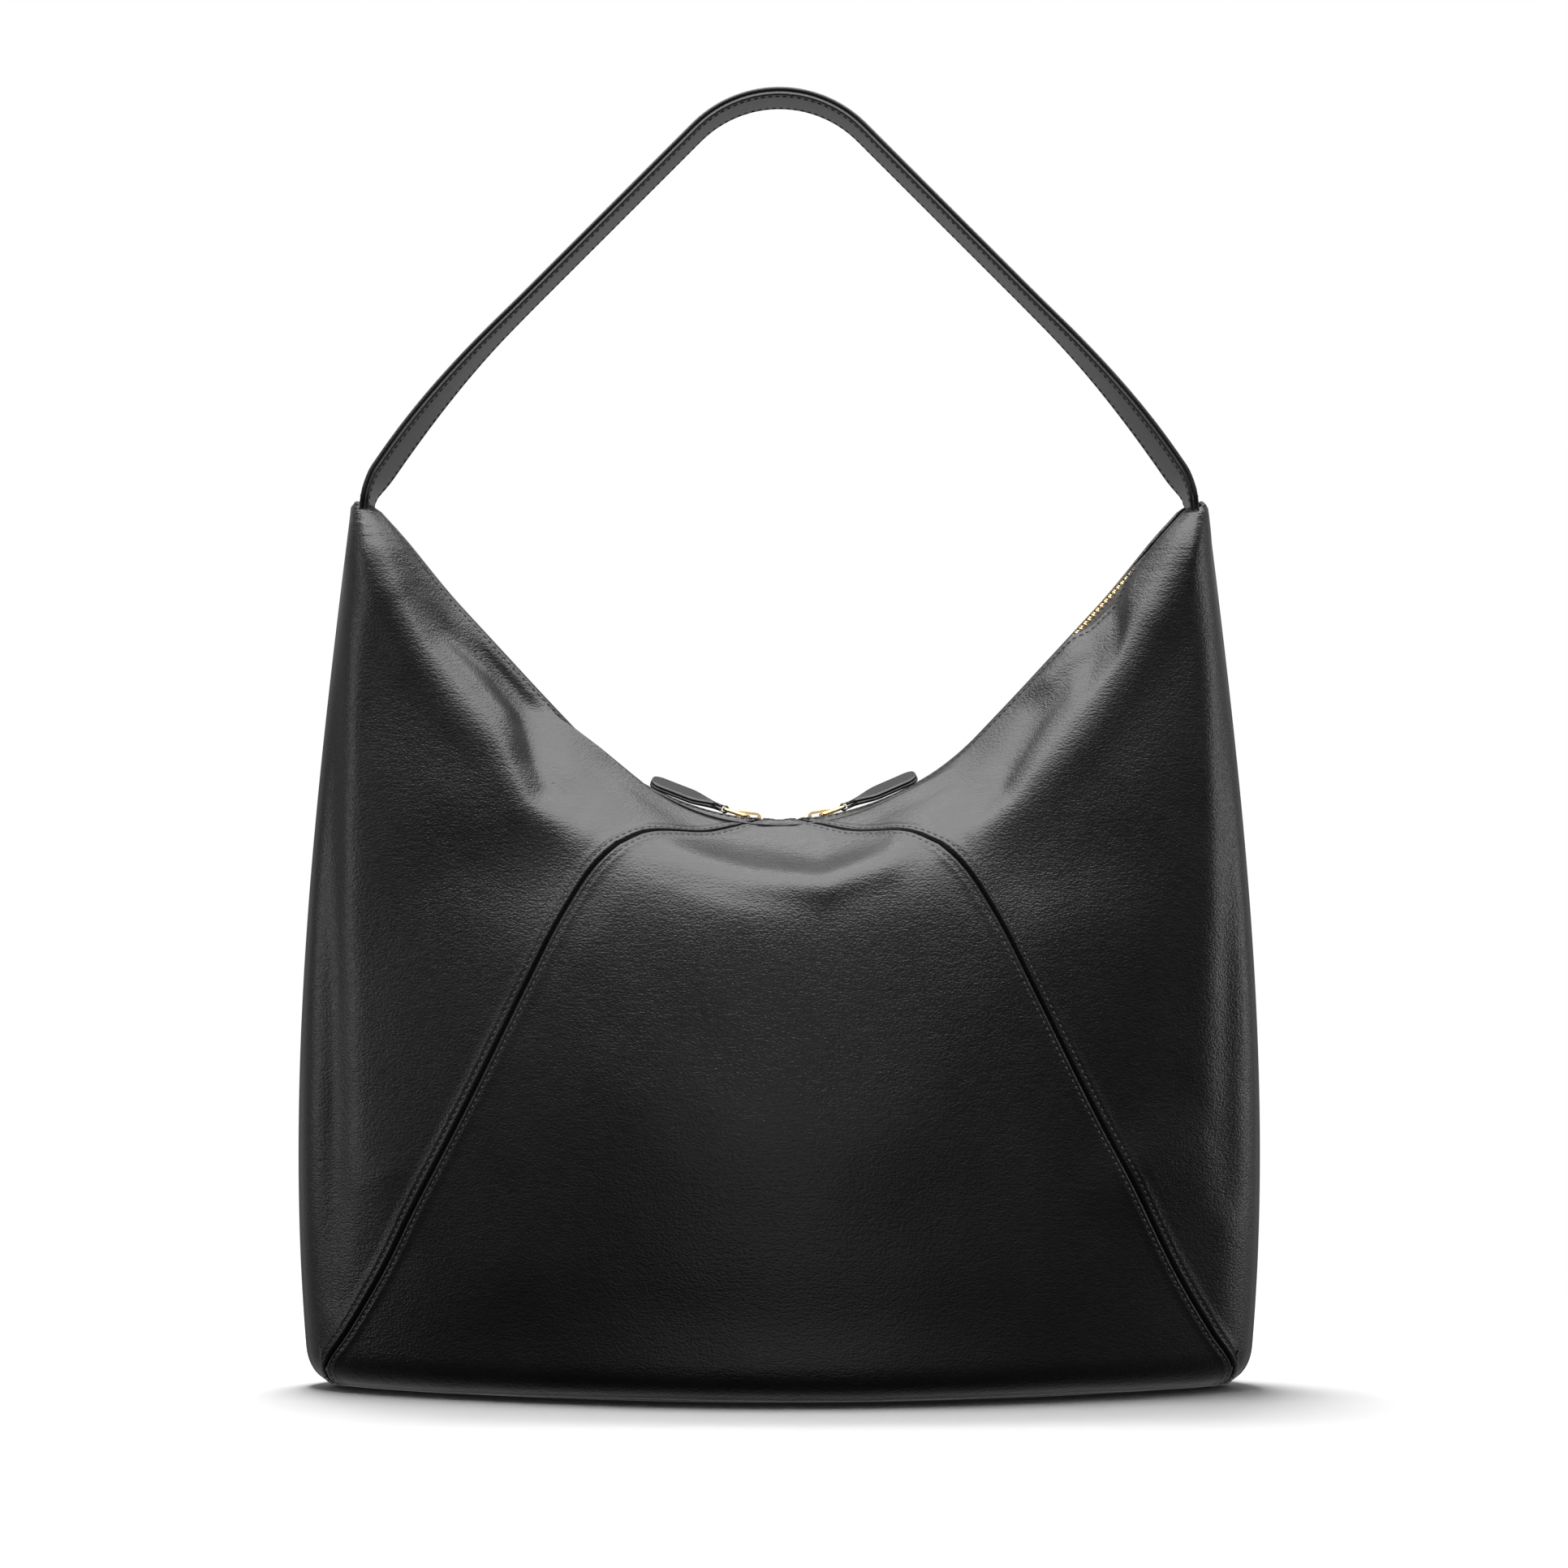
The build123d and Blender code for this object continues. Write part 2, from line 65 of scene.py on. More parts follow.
# Mouth line in the front view: an arc with its centre above, then two straight flanks.
MOUTH_RADIUS = 112
MOUTH_BOTTOM = 237
MOUTH_CENTRE = MOUTH_BOTTOM + MOUTH_RADIUS
MOUTH_ANGLE = radians(47.5)
MOUTH_FLAT = 12         # how far the leather lies level beside the zip: in the middle and on the flanks
MOUTH_FLAT_SIDES = 6.5
PEAK_FLAT = 16          # in the peaks it leaves room for the strap
MOUTH_SLOT = 6
SHOULDER_SLOPE = 0.55
ZIP_FLANK = 118
STRIP_FLANK = 122

# Roundings of the body's edges
BASE_ROUND = 17
SIDE_ROUND = 10
FOLD_ROUND = 16
SHOULDER_FALL_MIDDLE = 19       # how far below the mouth the leather takes to reach its full depth
SHOULDER_FALL_SIDES = 26
PEAK_ROUND = 6

LEATHER = 1.5
STITCH_PITCH = 3.0
STITCH_OFFSET = 3.0     # from a seam to each row of top-stitching
GROOVE_DEPTH = 1.5


def through_sections(values):
    """A cubic in the height that passes through the four sections' values."""
    return np.polynomial.Polynomial.fit(SECTION_HEIGHTS, values, 3)


half_width_at = through_sections(SECTION_HALF_WIDTHS)
half_depth_at = through_sections(SECTION_HALF_DEPTHS)
end_depth_at = through_sections(SECTION_END_DEPTHS)


# ---------------------------------------------------------------- the body's smooth surface

def ramp(low, high, value):
    """0 below low, 1 above high, and smooth in between."""
    share = np.clip((value - low) / (high - low), 0, 1)
    return share * share * (3 - 2 * share)


def bell(distance, width):
    """1 at no distance, and fading like a bell to either side."""
    return np.exp(-((distance / width) ** 2))


def rounded(a, b, radius):
    """The greater of two distances, with the edge where they meet rounded off."""
    nearness = np.clip(1 - np.abs(a - b) / radius, 0, 1)
    return np.maximum(a, b) + nearness * nearness * radius / 4


def on_wings(x):
    """0 over the middle of the mouth, 1 out on the flanks."""
    return ramp(35, 105, np.abs(x))


def flat_at(x):
    """How far from the middle the leather leaves the level of the mouth."""
    along_mouth = MOUTH_FLAT + (MOUTH_FLAT_SIDES - MOUTH_FLAT) * on_wings(x)
    return along_mouth + (PEAK_FLAT - along_mouth) * ramp(132, 173, np.abs(x))


def mouth_height(x, z):
    """How far a point of the front view lies above the mouth line, square to it."""
    x = np.abs(x)
    up = z - MOUTH_CENTRE
    on_arc = MOUTH_RADIUS - np.hypot(x, up)
    start_x = MOUTH_RADIUS * sin(MOUTH_ANGLE)
    start_z = -MOUTH_RADIUS * cos(MOUTH_ANGLE)
    on_flank = (up - start_z) * cos(MOUTH_ANGLE) - (x - start_x) * sin(MOUTH_ANGLE)
    past_arc = x * cos(MOUTH_ANGLE) + up * sin(MOUTH_ANGLE) > 0
    return np.where(past_arc, on_flank, on_arc)


def face_depth(x, z):
    """Half depth of the body at a point of its front view, before the edges are rounded."""
    reach = half_width_at(z) - SIDE_BULGE
    end = end_depth_at(z)
    full = end + (half_depth_at(z) - end) * (1 - (x / reach) ** 2)
    fall = SHOULDER_FALL_MIDDLE + (SHOULDER_FALL_SIDES - SHOULDER_FALL_MIDDLE) * on_wings(x)
    below = np.maximum(-mouth_height(x, z), 0)
    return flat_at(x) + (full - flat_at(x)) * np.tanh((below + 1) / fall)


def body_distance(p):
    """Distance of points from the body's skin, negative inside."""
    x = np.abs(p[..., 0])
    y = np.abs(p[..., 1])
    z = p[..., 2]
    depth = face_depth(x, z)
    slope = np.sqrt(1 + (face_depth(x + 1, z) - depth) ** 2 + (face_depth(x, z + 1) - depth) ** 2)
    face = (y - depth) / slope
    across = y / end_depth_at(z)
    side = x - half_width_at(z) + SIDE_BULGE * across**2 / (1 + 0.1 * across**2)
    drop = SHOULDER_SLOPE * rounded(np.zeros_like(y), y - flat_at(x), 8)
    sky = mouth_height(x, z + drop)
    fold_round = 6 + (FOLD_ROUND - 6) * ramp(MOUTH_SLOT, MOUTH_FLAT + 9, y)
    skin = rounded(face, side, SIDE_ROUND)
    skin = rounded(skin, sky, fold_round)
    skin = rounded(skin, -z, BASE_ROUND)
    return rounded(skin, z - PEAK_HEIGHT, PEAK_ROUND)


def outward(p):
    """Unit normals of the body's skin."""
    step = 0.2
    slopes = []
    for axis in range(3):
        shift = np.zeros(3)
        shift[axis] = step
        slopes.append(body_distance(p + shift) - body_distance(p - shift))
    normals = np.stack(slopes, axis=-1)
    return normals / np.maximum(np.linalg.norm(normals, axis=-1, keepdims=True), 1e-9)


def onto_body(p, steps=10):
    """Move points straight onto the body's skin."""
    for _ in range(steps):
        away = np.clip(body_distance(p), -8, 8)
        p = p - away[..., None] * outward(p)
    return p


# ---------------------------------------------------------------- curves

def spline(points, shares, knots=None):
    """Points of a smooth curve through the given ones, at shares of its length from 0 to 1."""
    points = np.array(points, float)
    if knots is None:
        lengths = np.linalg.norm(np.diff(points, axis=0), axis=1)
        knots = np.concatenate([[0], np.cumsum(lengths)])
    knots = np.array(knots, float) / knots[-1]
    tangents = np.gradient(points, knots, axis=0)
    shares = np.asarray(shares, float)
    i = np.clip(np.searchsorted(knots, shares, side="right") - 1, 0, len(knots) - 2)
    gap = (knots[i + 1] - knots[i])[:, None]
    u = (shares[:, None] - knots[i][:, None]) / gap
    return (
        (2 * u**3 - 3 * u**2 + 1) * points[i]
        + (u**3 - 2 * u**2 + u) * gap * tangents[i]
        + (3 * u**2 - 2 * u**3) * points[i + 1]
        + (u**3 - u**2) * gap * tangents[i + 1]
    )


def lengths_along(points):
    """Length of a polyline up to each of its points."""
    return np.concatenate([[0], np.cumsum(np.linalg.norm(np.diff(points, axis=0), axis=1))])


def sample(points, at, values):
    """Rows of values, given at the lengths in at, taken at other lengths."""
    return np.stack([np.interp(points, at, values[:, k]) for k in range(values.shape[1])], axis=1)


def mouth_line(along):
    """Points (x, z) and upward normals of the mouth line, by length from its middle."""
    along = np.asarray(along, float)
    arc_length = MOUTH_RADIUS * MOUTH_ANGLE
    angle = np.clip(along / MOUTH_RADIUS, -MOUTH_ANGLE, MOUTH_ANGLE)
    extra = np.sign(along) * np.maximum(np.abs(along) - arc_length, 0)
    x = MOUTH_RADIUS * np.sin(angle) + extra * cos(MOUTH_ANGLE)
    z = MOUTH_CENTRE - MOUTH_RADIUS * np.cos(angle) + np.abs(extra) * sin(MOUTH_ANGLE)
    return x, z, -np.sin(angle), np.cos(angle)


# Routes on the right half of the front, as (x, y, z)
DIAGONAL_SEAM = (
    (184, -4, 0), (190, -9, 1.5), (191.5, -13, 6), (180, -21, 24), (165, -28, 48.7), (148, -34, 81.6),
    (126, -41, 124), (104.5, -46, 168), (88.6, -48, 200), (76.5, -48, 219), (65.5, -46, 230.5),
)
SHOULDER_SEAM = (
    (65.5, -46, 230.5), (56, -40, 234), (44, -31, 234), (32, -23, 234),
    (20, -15, 235), (12, -10, 236), (6, -6, 237),
)
FOLD_ROUTE = (      # share of the row, then the point
    (0, (65.5, -46, 230.5)), (0.18, (88, -44, 252)), (0.4, (112, -38, 283)), (0.62, (136, -32, 313)),
    (0.86, (163, -25, 350)), (0.94, (173, -19, 366)), (1, (178, 0, 367)),
)
MOUTH_SHARE = 0.86      # share of the top row that runs along the mouth
SLIT_OUT = 175.8        # the strap's slit in the peak: outer side, inner side and front end
SLIT_IN = 170.4
SLIT_FRONT = -15.6


def mouth_edge(shares):
    """Top edge of a right wing: along the mouth, then round the front half of the strap's slit."""
    shares = np.asarray(shares, float)
    slit_start = MOUTH_ANGLE * MOUTH_RADIUS + STRIP_FLANK + 1
    along = MOUTH_SLOT + np.clip(shares / MOUTH_SHARE, 0, 1) * (slit_start - MOUTH_SLOT)
    x, z, _, _ = mouth_line(along)
    on_mouth = np.stack([x, np.full_like(x, -MOUTH_SLOT), z], axis=1)
    slit = (
        (on_mouth[-1][0], -MOUTH_SLOT, on_mouth[-1][2]),
        (SLIT_IN + 0.6, -8.5, 369),
        (SLIT_IN, SLIT_FRONT + 1.2, 371),
        ((SLIT_IN + SLIT_OUT) / 2, SLIT_FRONT, 371.5),
        (SLIT_OUT, SLIT_FRONT + 1.2, 371.5),
        (SLIT_OUT, -8, 372),
        (SLIT_OUT, 0, 372),
    )
    on_slit = spline(slit, np.clip((shares - MOUTH_SHARE) / (1 - MOUTH_SHARE), 0, 1))
    return np.where((shares > MOUTH_SHARE)[:, None], on_slit, on_mouth)


# ---------------------------------------------------------------- folds

# Each fold is a line on the front view, as (x, z, height), and its half width. Valleys are negative.
FRONT_FOLDS = (
    # left shoulder: crest, valley and the roll at the mouth
    (((-175, 367, 0.4), (-169, 350, 3.6), (-160, 333, 5.6), (-147, 308, 4.8), (-130, 285, 4.2),
      (-113, 268, 3.8), (-100, 247, 3.2), (-83, 236, 1.2)), 13),
    (((-160, 348, 0.0), (-150, 331, -2.0), (-137, 316, -3.4), (-118, 301, -4.2), (-105, 284, -5.4),
      (-100, 263, -6.4), (-95, 251, -5.6), (-84, 243, -2.0)), 7.5),
    (((-147, 329, 0.6), (-128, 315, 1.4), (-110, 302, 1.2), (-93, 283, 1.6), (-78, 264, 1.4),
      (-62, 250, 0.4)), 5),
    # right shoulder: crest, short upper ridge, and the valley that ends in a pocket
    (((175, 367, 0.4), (167, 352, 2.8), (153, 324, 4.6), (139, 299, 4.0), (120, 271, 3.6), (97, 248, 2.8),
      (80, 236, 0.8)), 13),
    (((131, 318, 0.8), (111, 296, 1.8), (94, 288, 0.5)), 5),
    (((146, 322, 0.0), (125, 298, -1.4), (108, 281, -2.4), (98, 264, -3.0), (91, 252, -4.0), (81, 244, -3.0),
      (74, 239, -0.6)), 6),
    # ridge across the top of the middle, and the hollow above it
    (((-66, 231, 0.6), (-40, 221, 1.8), (-10, 213, 2.6), (18, 210, 3.4), (44, 219, 2.8), (58, 230, 0.8)), 6),
    (((-50, 234, -0.3), (-16, 228, -1.4), (16, 224, -2.0), (40, 230, -0.8)), 6),
    # creases in front of the side seams
    (((-186, 345, 0.0), (-187, 290, -1.6), (-187, 200, -2.4), (-185, 110, -2.2), (-186, 40, -0.6)), 7),
    (((188, 330, 0.0), (188, 260, -1.2), (187, 160, -1.6), (186, 80, -0.8)), 7),
    # slow hollows of the face
    (((-120, 150, 0.0), (-60, 118, 1.2), (20, 104, 1.4), (100, 128, 0.0)), 34),
    (((-160, 200, 0.0), (-130, 215, -1.5), (-96, 214, -2.0), (-70, 196, 0.0)), 22),
    (((160, 210, 0.0), (128, 222, -1.2), (98, 214, -1.6), (76, 196, 0.0)), 20),
    (((178, 110, 0.0), (150, 96, 1.6), (128, 74, 0.0)), 14),
    (((-176, 120, 0.0), (-164, 90, 1.2), (-150, 60, 0.0)), 14),
    (((-150, 22, 0.0), (-60, 34, -1.2), (60, 32, -1.0), (150, 24, 0.0)), 18),
)
BACK_FOLDS = (
    (((-160, 345, 0.0), (-136, 312, 1.2), (-110, 280, 1.3), (-88, 252, 1.2), (-72, 236, 0.4)), 9),
    (((-150, 330, 0.0), (-122, 303, -1.6), (-104, 280, -2.4), (-92, 256, -2.0), (-78, 245, -0.4)), 8),
    (((162, 346, 0.0), (140, 314, 1.1), (114, 284, 1.4), (92, 254, 1.2), (74, 236, 0.5)), 9),
    (((148, 328, 0.0), (120, 300, -1.6), (104, 278, -2.6), (92, 256, -2.4), (78, 244, -0.4)), 8),
    (((-60, 230, 0.2), (-26, 217, 1.2), (4, 213, 1.5), (32, 217, 1.2), (60, 230, 0.2)), 7),
    (((-40, 229, -0.5), (-10, 225, -2.4), (20, 226, -2.2), (44, 230, -0.5)), 6),
    (((-110, 140, 0.0), (-30, 106, 1.6), (40, 110, 1.4), (118, 140, 0.0)), 34),
    (((-150, 205, 0.0), (-120, 214, -1.6), (-90, 208, -1.4), (-72, 190, 0.0)), 20),
    (((-150, 22, 0.0), (-60, 34, -1.6), (60, 32, -1.4), (150, 24, 0.0)), 18),
)
MOUTH_ROLLS = ((-72, 26, 5), (54, 18, 2))       # rolls of leather at the front edge: x, width and height
WAVES = (       # slow unevenness of soft leather: height, waves per metre along x and z, phase
    (0.20, 6.0, 4.0, 0.4), (0.12, -5.0, 9.0, 2.1), (0.05, 17.0, -11.0, 4.4), (0.03, 29.0, 23.0, 1.2),
)


def fold_height(x, z, folds):
    """Height of the folds over the smooth body, at points of the front view."""
    height = np.zeros_like(x)
    for line, width in folds:
        best = np.full_like(x, 1e9)
        level = np.zeros_like(x)
        for (x0, z0, h0), (x1, z1, h1) in zip(line, line[1:]):
            length = (x1 - x0) ** 2 + (z1 - z0) ** 2
            share = np.clip(((x - x0) * (x1 - x0) + (z - z0) * (z1 - z0)) / length, 0, 1)
            away = np.hypot(x - x0 - share * (x1 - x0), z - z0 - share * (z1 - z0))
            level = np.where(away < best, h0 + share * (h1 - h0), level)
            best = np.minimum(best, away)
        height += level * bell(best, width)
    for size, per_x, per_z, phase in WAVES:
        height += size * np.sin(2 * pi * MM * (per_x * x + per_z * z) + phase)
    return height


def mouth_rise(x, y):
    """How far the mouth's front edge stands above its back one: rolls by the tabs, less a sag at right."""
    rolls = sum(height * bell(x - place, width) for place, width, height in MOUTH_ROLLS)
    sag = 3.1 * ramp(121, 128, x) * ramp(145, 137, x) + 1.2 * ramp(120, 146, x)
    return rolls * ramp(-8.5, -13, y) - sag * ramp(-2.5, -5.5, y)


# ---------------------------------------------------------------- panel grids

SEAM_LADDER = np.array([0, 0.35, 0.7, 1.1, 1.6, 2.2, 3.0, 3.9, 5.0, 6.5, 8.5])
SIDE_LADDER = np.array([0, 0.4, 0.8, 1.3, 2.0, 3.0, 4.5, 6.5])
FACE_ROWS = 150
SHOULDER_ROWS = 34
SIDE_TOP = 366          # where the face's last row meets the side seam
FULL_ROW = 200      # points of a row before it is spaced out


def spaced(length, start, middle, end):
    """Distances along a row: close together beside its two ends and even in the middle."""
    start = start * min(1, 0.4 * length / start[-1])
    end = end * min(1, 0.4 * length / end[-1])
    even = np.linspace(start[-1], length - end[-1], middle)
    return np.concatenate([start[:-1], even, length - end[::-1][1:]])


def row_shares():
    """Shares of the face's height for its rows, closer together where the base edge is rounded."""
    even = np.linspace(0, 1, FACE_ROWS)
    return even - 0.5 * np.sin(2 * pi * even) / (2 * pi) * (1 - even)


def side_route(height):
    """Approximate side seam and front corner of the right side, by height."""
    base = (1 - np.clip(height / 9, 0, 1)) ** 2
    side = np.stack([half_width_at(height) - 10 * base, 0 * height, height], axis=1)
    corner_x = half_width_at(height) - 5.5 - 9 * base
    corner_y = -(end_depth_at(height) + 1) + 9 * base
    return side, np.stack([corner_x, corner_y, height], axis=1)


def wing_rows():
    """Approximate rows of the right front wing, from the diagonal seam to the side seam."""
    shares = np.linspace(0, 1, FULL_ROW)
    rows = []
    fold_row = spline([p for _, p in FOLD_ROUTE], shares, [s for s, _ in FOLD_ROUTE])
    face_shares = row_shares()
    seam = spline(DIAGONAL_SEAM, face_shares)
    side, corner = side_route(face_shares * SIDE_TOP)
    climb = 0.65 + 0.35 * ramp(0, 0.35, face_shares)
    corner[:, 2] = seam[:, 2] + climb * (side[:, 2] - seam[:, 2])
    blend = ramp(0, 0.06, face_shares)[:, None]
    corner = corner * blend + (seam + side) / 2 * (1 - blend)
    middle = (seam + corner) / 2
    depth = np.maximum(face_depth(middle[:, 0], middle[:, 2]), 0)
    middle[:, 1] = -depth * blend[:, 0] + middle[:, 1] * (1 - blend[:, 0])
    last = spline([seam[-1], middle[-1], corner[-1], side[-1]], shares)
    for k, share in enumerate(face_shares):
        row = spline([seam[k], middle[k], corner[k], side[k]], shares)
        rows.append(row + ramp(0.55, 1, share) * (fold_row - last))
    top_row = mouth_edge(shares)
    shoulder_shares = np.linspace(0, 1, SHOULDER_ROWS + 1)[1:]
    shoulder_seam = spline(SHOULDER_SEAM, shoulder_shares)
    for k, share in enumerate(shoulder_shares):
        row = fold_row * (1 - share) + top_row * share
        row += ((1 - shares) ** 6)[:, None] * (shoulder_seam[k] - row[0])
        rows.append(row)
    return rows


def centre_rows():
    """Approximate rows of the front centre panel, from its left seam to its right seam."""
    across = np.linspace(-1, 1, FULL_ROW)
    bow = (1 - across**2)[:, None]
    face_shares = row_shares()
    seam = np.concatenate([
        spline(DIAGONAL_SEAM, face_shares),
        spline(SHOULDER_SEAM, np.linspace(0, 1, SHOULDER_ROWS + 1)[1:]),
    ])
    middle_face = (
        (0, -51, 0), (0, -58, 1.5), (0, -61.5, 9), (0, -63, 60), (0, -60, 120), (0, -52, 180), (0, -47, 214),
    )
    middle_shoulder = ((0, -47, 214), (0, -42, 221), (0, -28, 230), (0, -15, 236), (0, -6, 237))
    middle = np.concatenate([
        spline(middle_face, face_shares),
        spline(middle_shoulder, np.linspace(0, 1, SHOULDER_ROWS + 1)[1:]),
    ])
    rows = []
    for edge, centre in zip(seam, middle):
        row = np.zeros((FULL_ROW, 3))
        row[:, 0] = across * edge[0]
        row[:, 1:] = edge[1:] + bow * (centre[1:] - edge[1:])
        rows.append(row)
    return rows


class Panel:
    """One leather panel of the front: a grid of points on the body with its distances from every edge."""

    def __init__(self, rows, start, middle, end):
        grid = []
        self.from_start = []
        self.from_end = []
        for row in onto_body(np.stack(rows)):
            at = lengths_along(row)
            marks = spaced(at[-1], start, middle, end)
            grid.append(sample(marks, at, row))
            self.from_start.append(marks)
            self.from_end.append(at[-1] - marks)
        self.points = onto_body(np.stack(grid), steps=3)
        self.from_start = np.stack(self.from_start)
        self.from_end = np.stack(self.from_end)
        steps = np.linalg.norm(np.diff(self.points, axis=0), axis=-1)
        zero = np.zeros((1, steps.shape[1]))
        self.from_base = np.concatenate([zero, np.cumsum(steps, axis=0)])
        self.from_top = self.from_base[-1] - self.from_base
        self.normals = outward(self.points)


def seam_relief(distance):
    """Height beside a seam: a groove, a rounded lip, and the doubled leather under the stitches."""
    groove = -GROOVE_DEPTH * bell(distance, 0.75)
    doubled = 0.5 * (1 - ramp(3.6, 6.5, distance))
    pull = -0.4 * bell(distance - STITCH_OFFSET, 0.7)
    return groove + doubled + pull


def plain_seam_relief(distance):
    """Height beside a seam without stitches: a groove and a soft lip."""
    return -1.3 * bell(distance, 0.8) + 0.5 * bell(distance - 2.2, 1.6)


def edge_relief(distance):
    """Height beside the folded edge at the mouth."""
    roll = -0.8 * bell(distance, 0.7)
    pull = -0.25 * bell(distance - STITCH_OFFSET, 0.8)
    return roll + pull + 0.3 * (1 - ramp(4.5, 8, distance))


def fold_relief(panel, folds, mirror_x):
    """Height of the folds on a panel, fading towards the side seam and the mouth."""
    p = panel.points
    x = -p[..., 0] if mirror_x else p[..., 0]
    return fold_height(x, p[..., 2], folds) * ramp(2, 14, np.abs(p[..., 1])) * ramp(0.5, 9, panel.from_top)


def relief(panel, folds, mirror_x, both_seams):
    """Displaced points of a panel, with folds, seam grooves and edges."""
    p = panel.points
    height = fold_relief(panel, folds, mirror_x)
    near_seams = ramp(0, 5, panel.from_start) * (ramp(0, 5, panel.from_end) if both_seams else 1)
    height = height * (0.75 + 0.25 * near_seams)
    height += seam_relief(panel.from_start)
    if both_seams:
        height += seam_relief(panel.from_end)
    else:
        on_side = ramp(372, 366, p[..., 2])
        height += plain_seam_relief(panel.from_end) * on_side
    height += plain_seam_relief(panel.from_base)
    height += edge_relief(panel.from_top)
    p = p + height[..., None] * panel.normals
    p[..., 2] = np.maximum(p[..., 2], 0)
    return p


def shape_mouth(p):
    """Raise and lower the front edge of the mouth, square to the mouth line."""
    x = p[..., 0]
    rise = mouth_rise(x, p[..., 1]) * ramp(-26, -10, mouth_height(x, p[..., 2]))
    slope = np.clip(x / MOUTH_RADIUS, -MOUTH_ANGLE, MOUTH_ANGLE)
    p = p.copy()
    p[..., 0] -= rise * np.sin(slope)
    p[..., 2] += rise * np.cos(slope)
    return p


def mesh_normals(p):
    """Unit normals of a grid of points, with rows going up and columns to the right of the front."""
    across = np.gradient(p, axis=1)
    up = np.gradient(p, axis=0)
    n = np.cross(across, up)
    return n / np.maximum(np.linalg.norm(n, axis=-1, keepdims=True), 1e-9)


# ---------------------------------------------------------------- meshes

def grid_faces(rows, columns, closed=False):
    """Quads of a grid of points, optionally closed along its rows."""
    wide = columns if closed else columns - 1
    r, c = np.meshgrid(np.arange(rows - 1), np.arange(wide), indexing="ij")
    right = (c + 1) % columns
    quads = [r * columns + c, r * columns + right, (r + 1) * columns + right, (r + 1) * columns + c]
    return np.stack(quads, axis=-1).reshape(-1, 4).tolist()


def make_object(name, points, faces, material, body=None, slot=None, replaces=()):
    """A smooth mesh object from points in millimetres."""
    mesh = bpy.data.meshes.new(name)
    mesh.from_pydata((np.asarray(points, float).reshape(-1, 3) * MM).tolist(), [], faces)
    mesh.materials.append(material)
    mesh.polygons.foreach_set("use_smooth", [True] * len(mesh.polygons))
    mesh.validate()
    obj = bpy.data.objects.new(name, mesh)
    bpy.context.scene.collection.objects.link(obj)
    if body:
        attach(obj, body)
    if replaces:
        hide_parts(*replaces)
    return obj


def sheet_between(outer, inner):
    """Points and faces of a closed sheet between two grids of the same size."""
    rows, columns = outer.shape[:2]
    count = rows * columns
    faces = grid_faces(rows, columns)
    faces += [[i + count for i in reversed(quad)] for quad in grid_faces(rows, columns)]
    border = [*range(columns)]
    border += [r * columns + columns - 1 for r in range(1, rows)]
    border += [(rows - 1) * columns + c for c in range(columns - 2, -1, -1)]
    border += [r * columns for r in range(rows - 2, 0, -1)]
    for a, b in zip(border, border[1:] + border[:1]):
        faces.append([b, a, a + count, b + count])
    return np.concatenate([outer.reshape(-1, 3), inner.reshape(-1, 3)]), faces


def closed_sheet(outer, normals, thickness):
    """Points and faces of a sheet of even thickness under a grid of outer points."""
    return sheet_between(outer, outer - normals * thickness)


def tube_faces(rows, columns):
    """Faces of a tube through rows of points, with a cap at each end."""
    faces = grid_faces(rows, columns, closed=True)
    faces.append([*range(columns - 1, -1, -1)])
    faces.append([(rows - 1) * columns + c for c in range(columns)])
    return faces


def flipped(faces):
    """The same faces, wound the other way."""
    return [face[::-1] for face in faces]


def joined(shapes):
    """Several shapes' points and faces as one."""
    points = []
    faces = []
    for shape_points, shape_faces in shapes:
        first = sum(len(p) for p in points)
        points.append(shape_points)
        faces += [[i + first for i in face] for face in shape_faces]
    return np.concatenate(points), faces


def turned(p, mirror_x, mirror_y):
    """A grid on the right of the front, mirrored to another quarter with its winding kept."""
    p = p.copy()
    if mirror_x:
        p[..., 0] *= -1
        p = p[:, ::-1]
    if mirror_y:
        p[..., 1] *= -1
        p = p[:, ::-1]
    return p


def capsule(length, radius, around=8, along=6):
    """Points and faces of one stitch that lies along x and dips at its ends."""
    points = []
    for i in range(along + 1):
        u = -1 + 2 * i / along
        swell = radius * (1 - abs(u) ** 3) ** 0.5 if abs(u) < 1 else 0.02
        for k in range(around):
            a = 2 * pi * k / around
            points.append((u * length / 2, swell * cos(a), swell * sin(a) * 0.85 - 0.32 * u * u))
    return np.array(points), tube_faces(along + 1, around)


def scattered(template, template_faces, centres, frames):
    """Copies of a small shape, one at each centre, turned by its frame of three axes."""
    points = np.einsum("pk,nkj->npj", template, frames) + centres[:, None]
    count = len(template)
    faces = []
    for n in range(len(centres)):
        faces += [[i + n * count for i in face] for face in template_faces]
    return points.reshape(-1, 3), faces


def stitches(name, paths, body="bag", pitch=STITCH_PITCH, length=2.3, radius=0.36, lift=0.12, **links):
    """Rows of stitches along paths, each a list of points and their normals."""
    template, template_faces = capsule(length, radius)
    centres = []
    frames = []
    for points, normals in paths:
        at = lengths_along(points)
        if at[-1] < pitch:
            continue
        marks = np.arange(pitch / 2, at[-1] - pitch / 2, pitch)
        middle = sample(marks, at, points)
        ahead = sample(marks + 0.4, at, points) - sample(marks - 0.4, at, points)
        ahead /= np.linalg.norm(ahead, axis=1, keepdims=True)
        up = sample(marks, at, normals)
        up -= (up * ahead).sum(1, keepdims=True) * ahead
        up /= np.linalg.norm(up, axis=1, keepdims=True)
        centres.append(middle + lift * up)
        frames.append(np.stack([ahead, np.cross(up, ahead), up], axis=1))
    points, faces = scattered(template, template_faces, np.concatenate(centres), np.concatenate(frames))
    return make_object(name, points, faces, THREAD, body=body, **links)


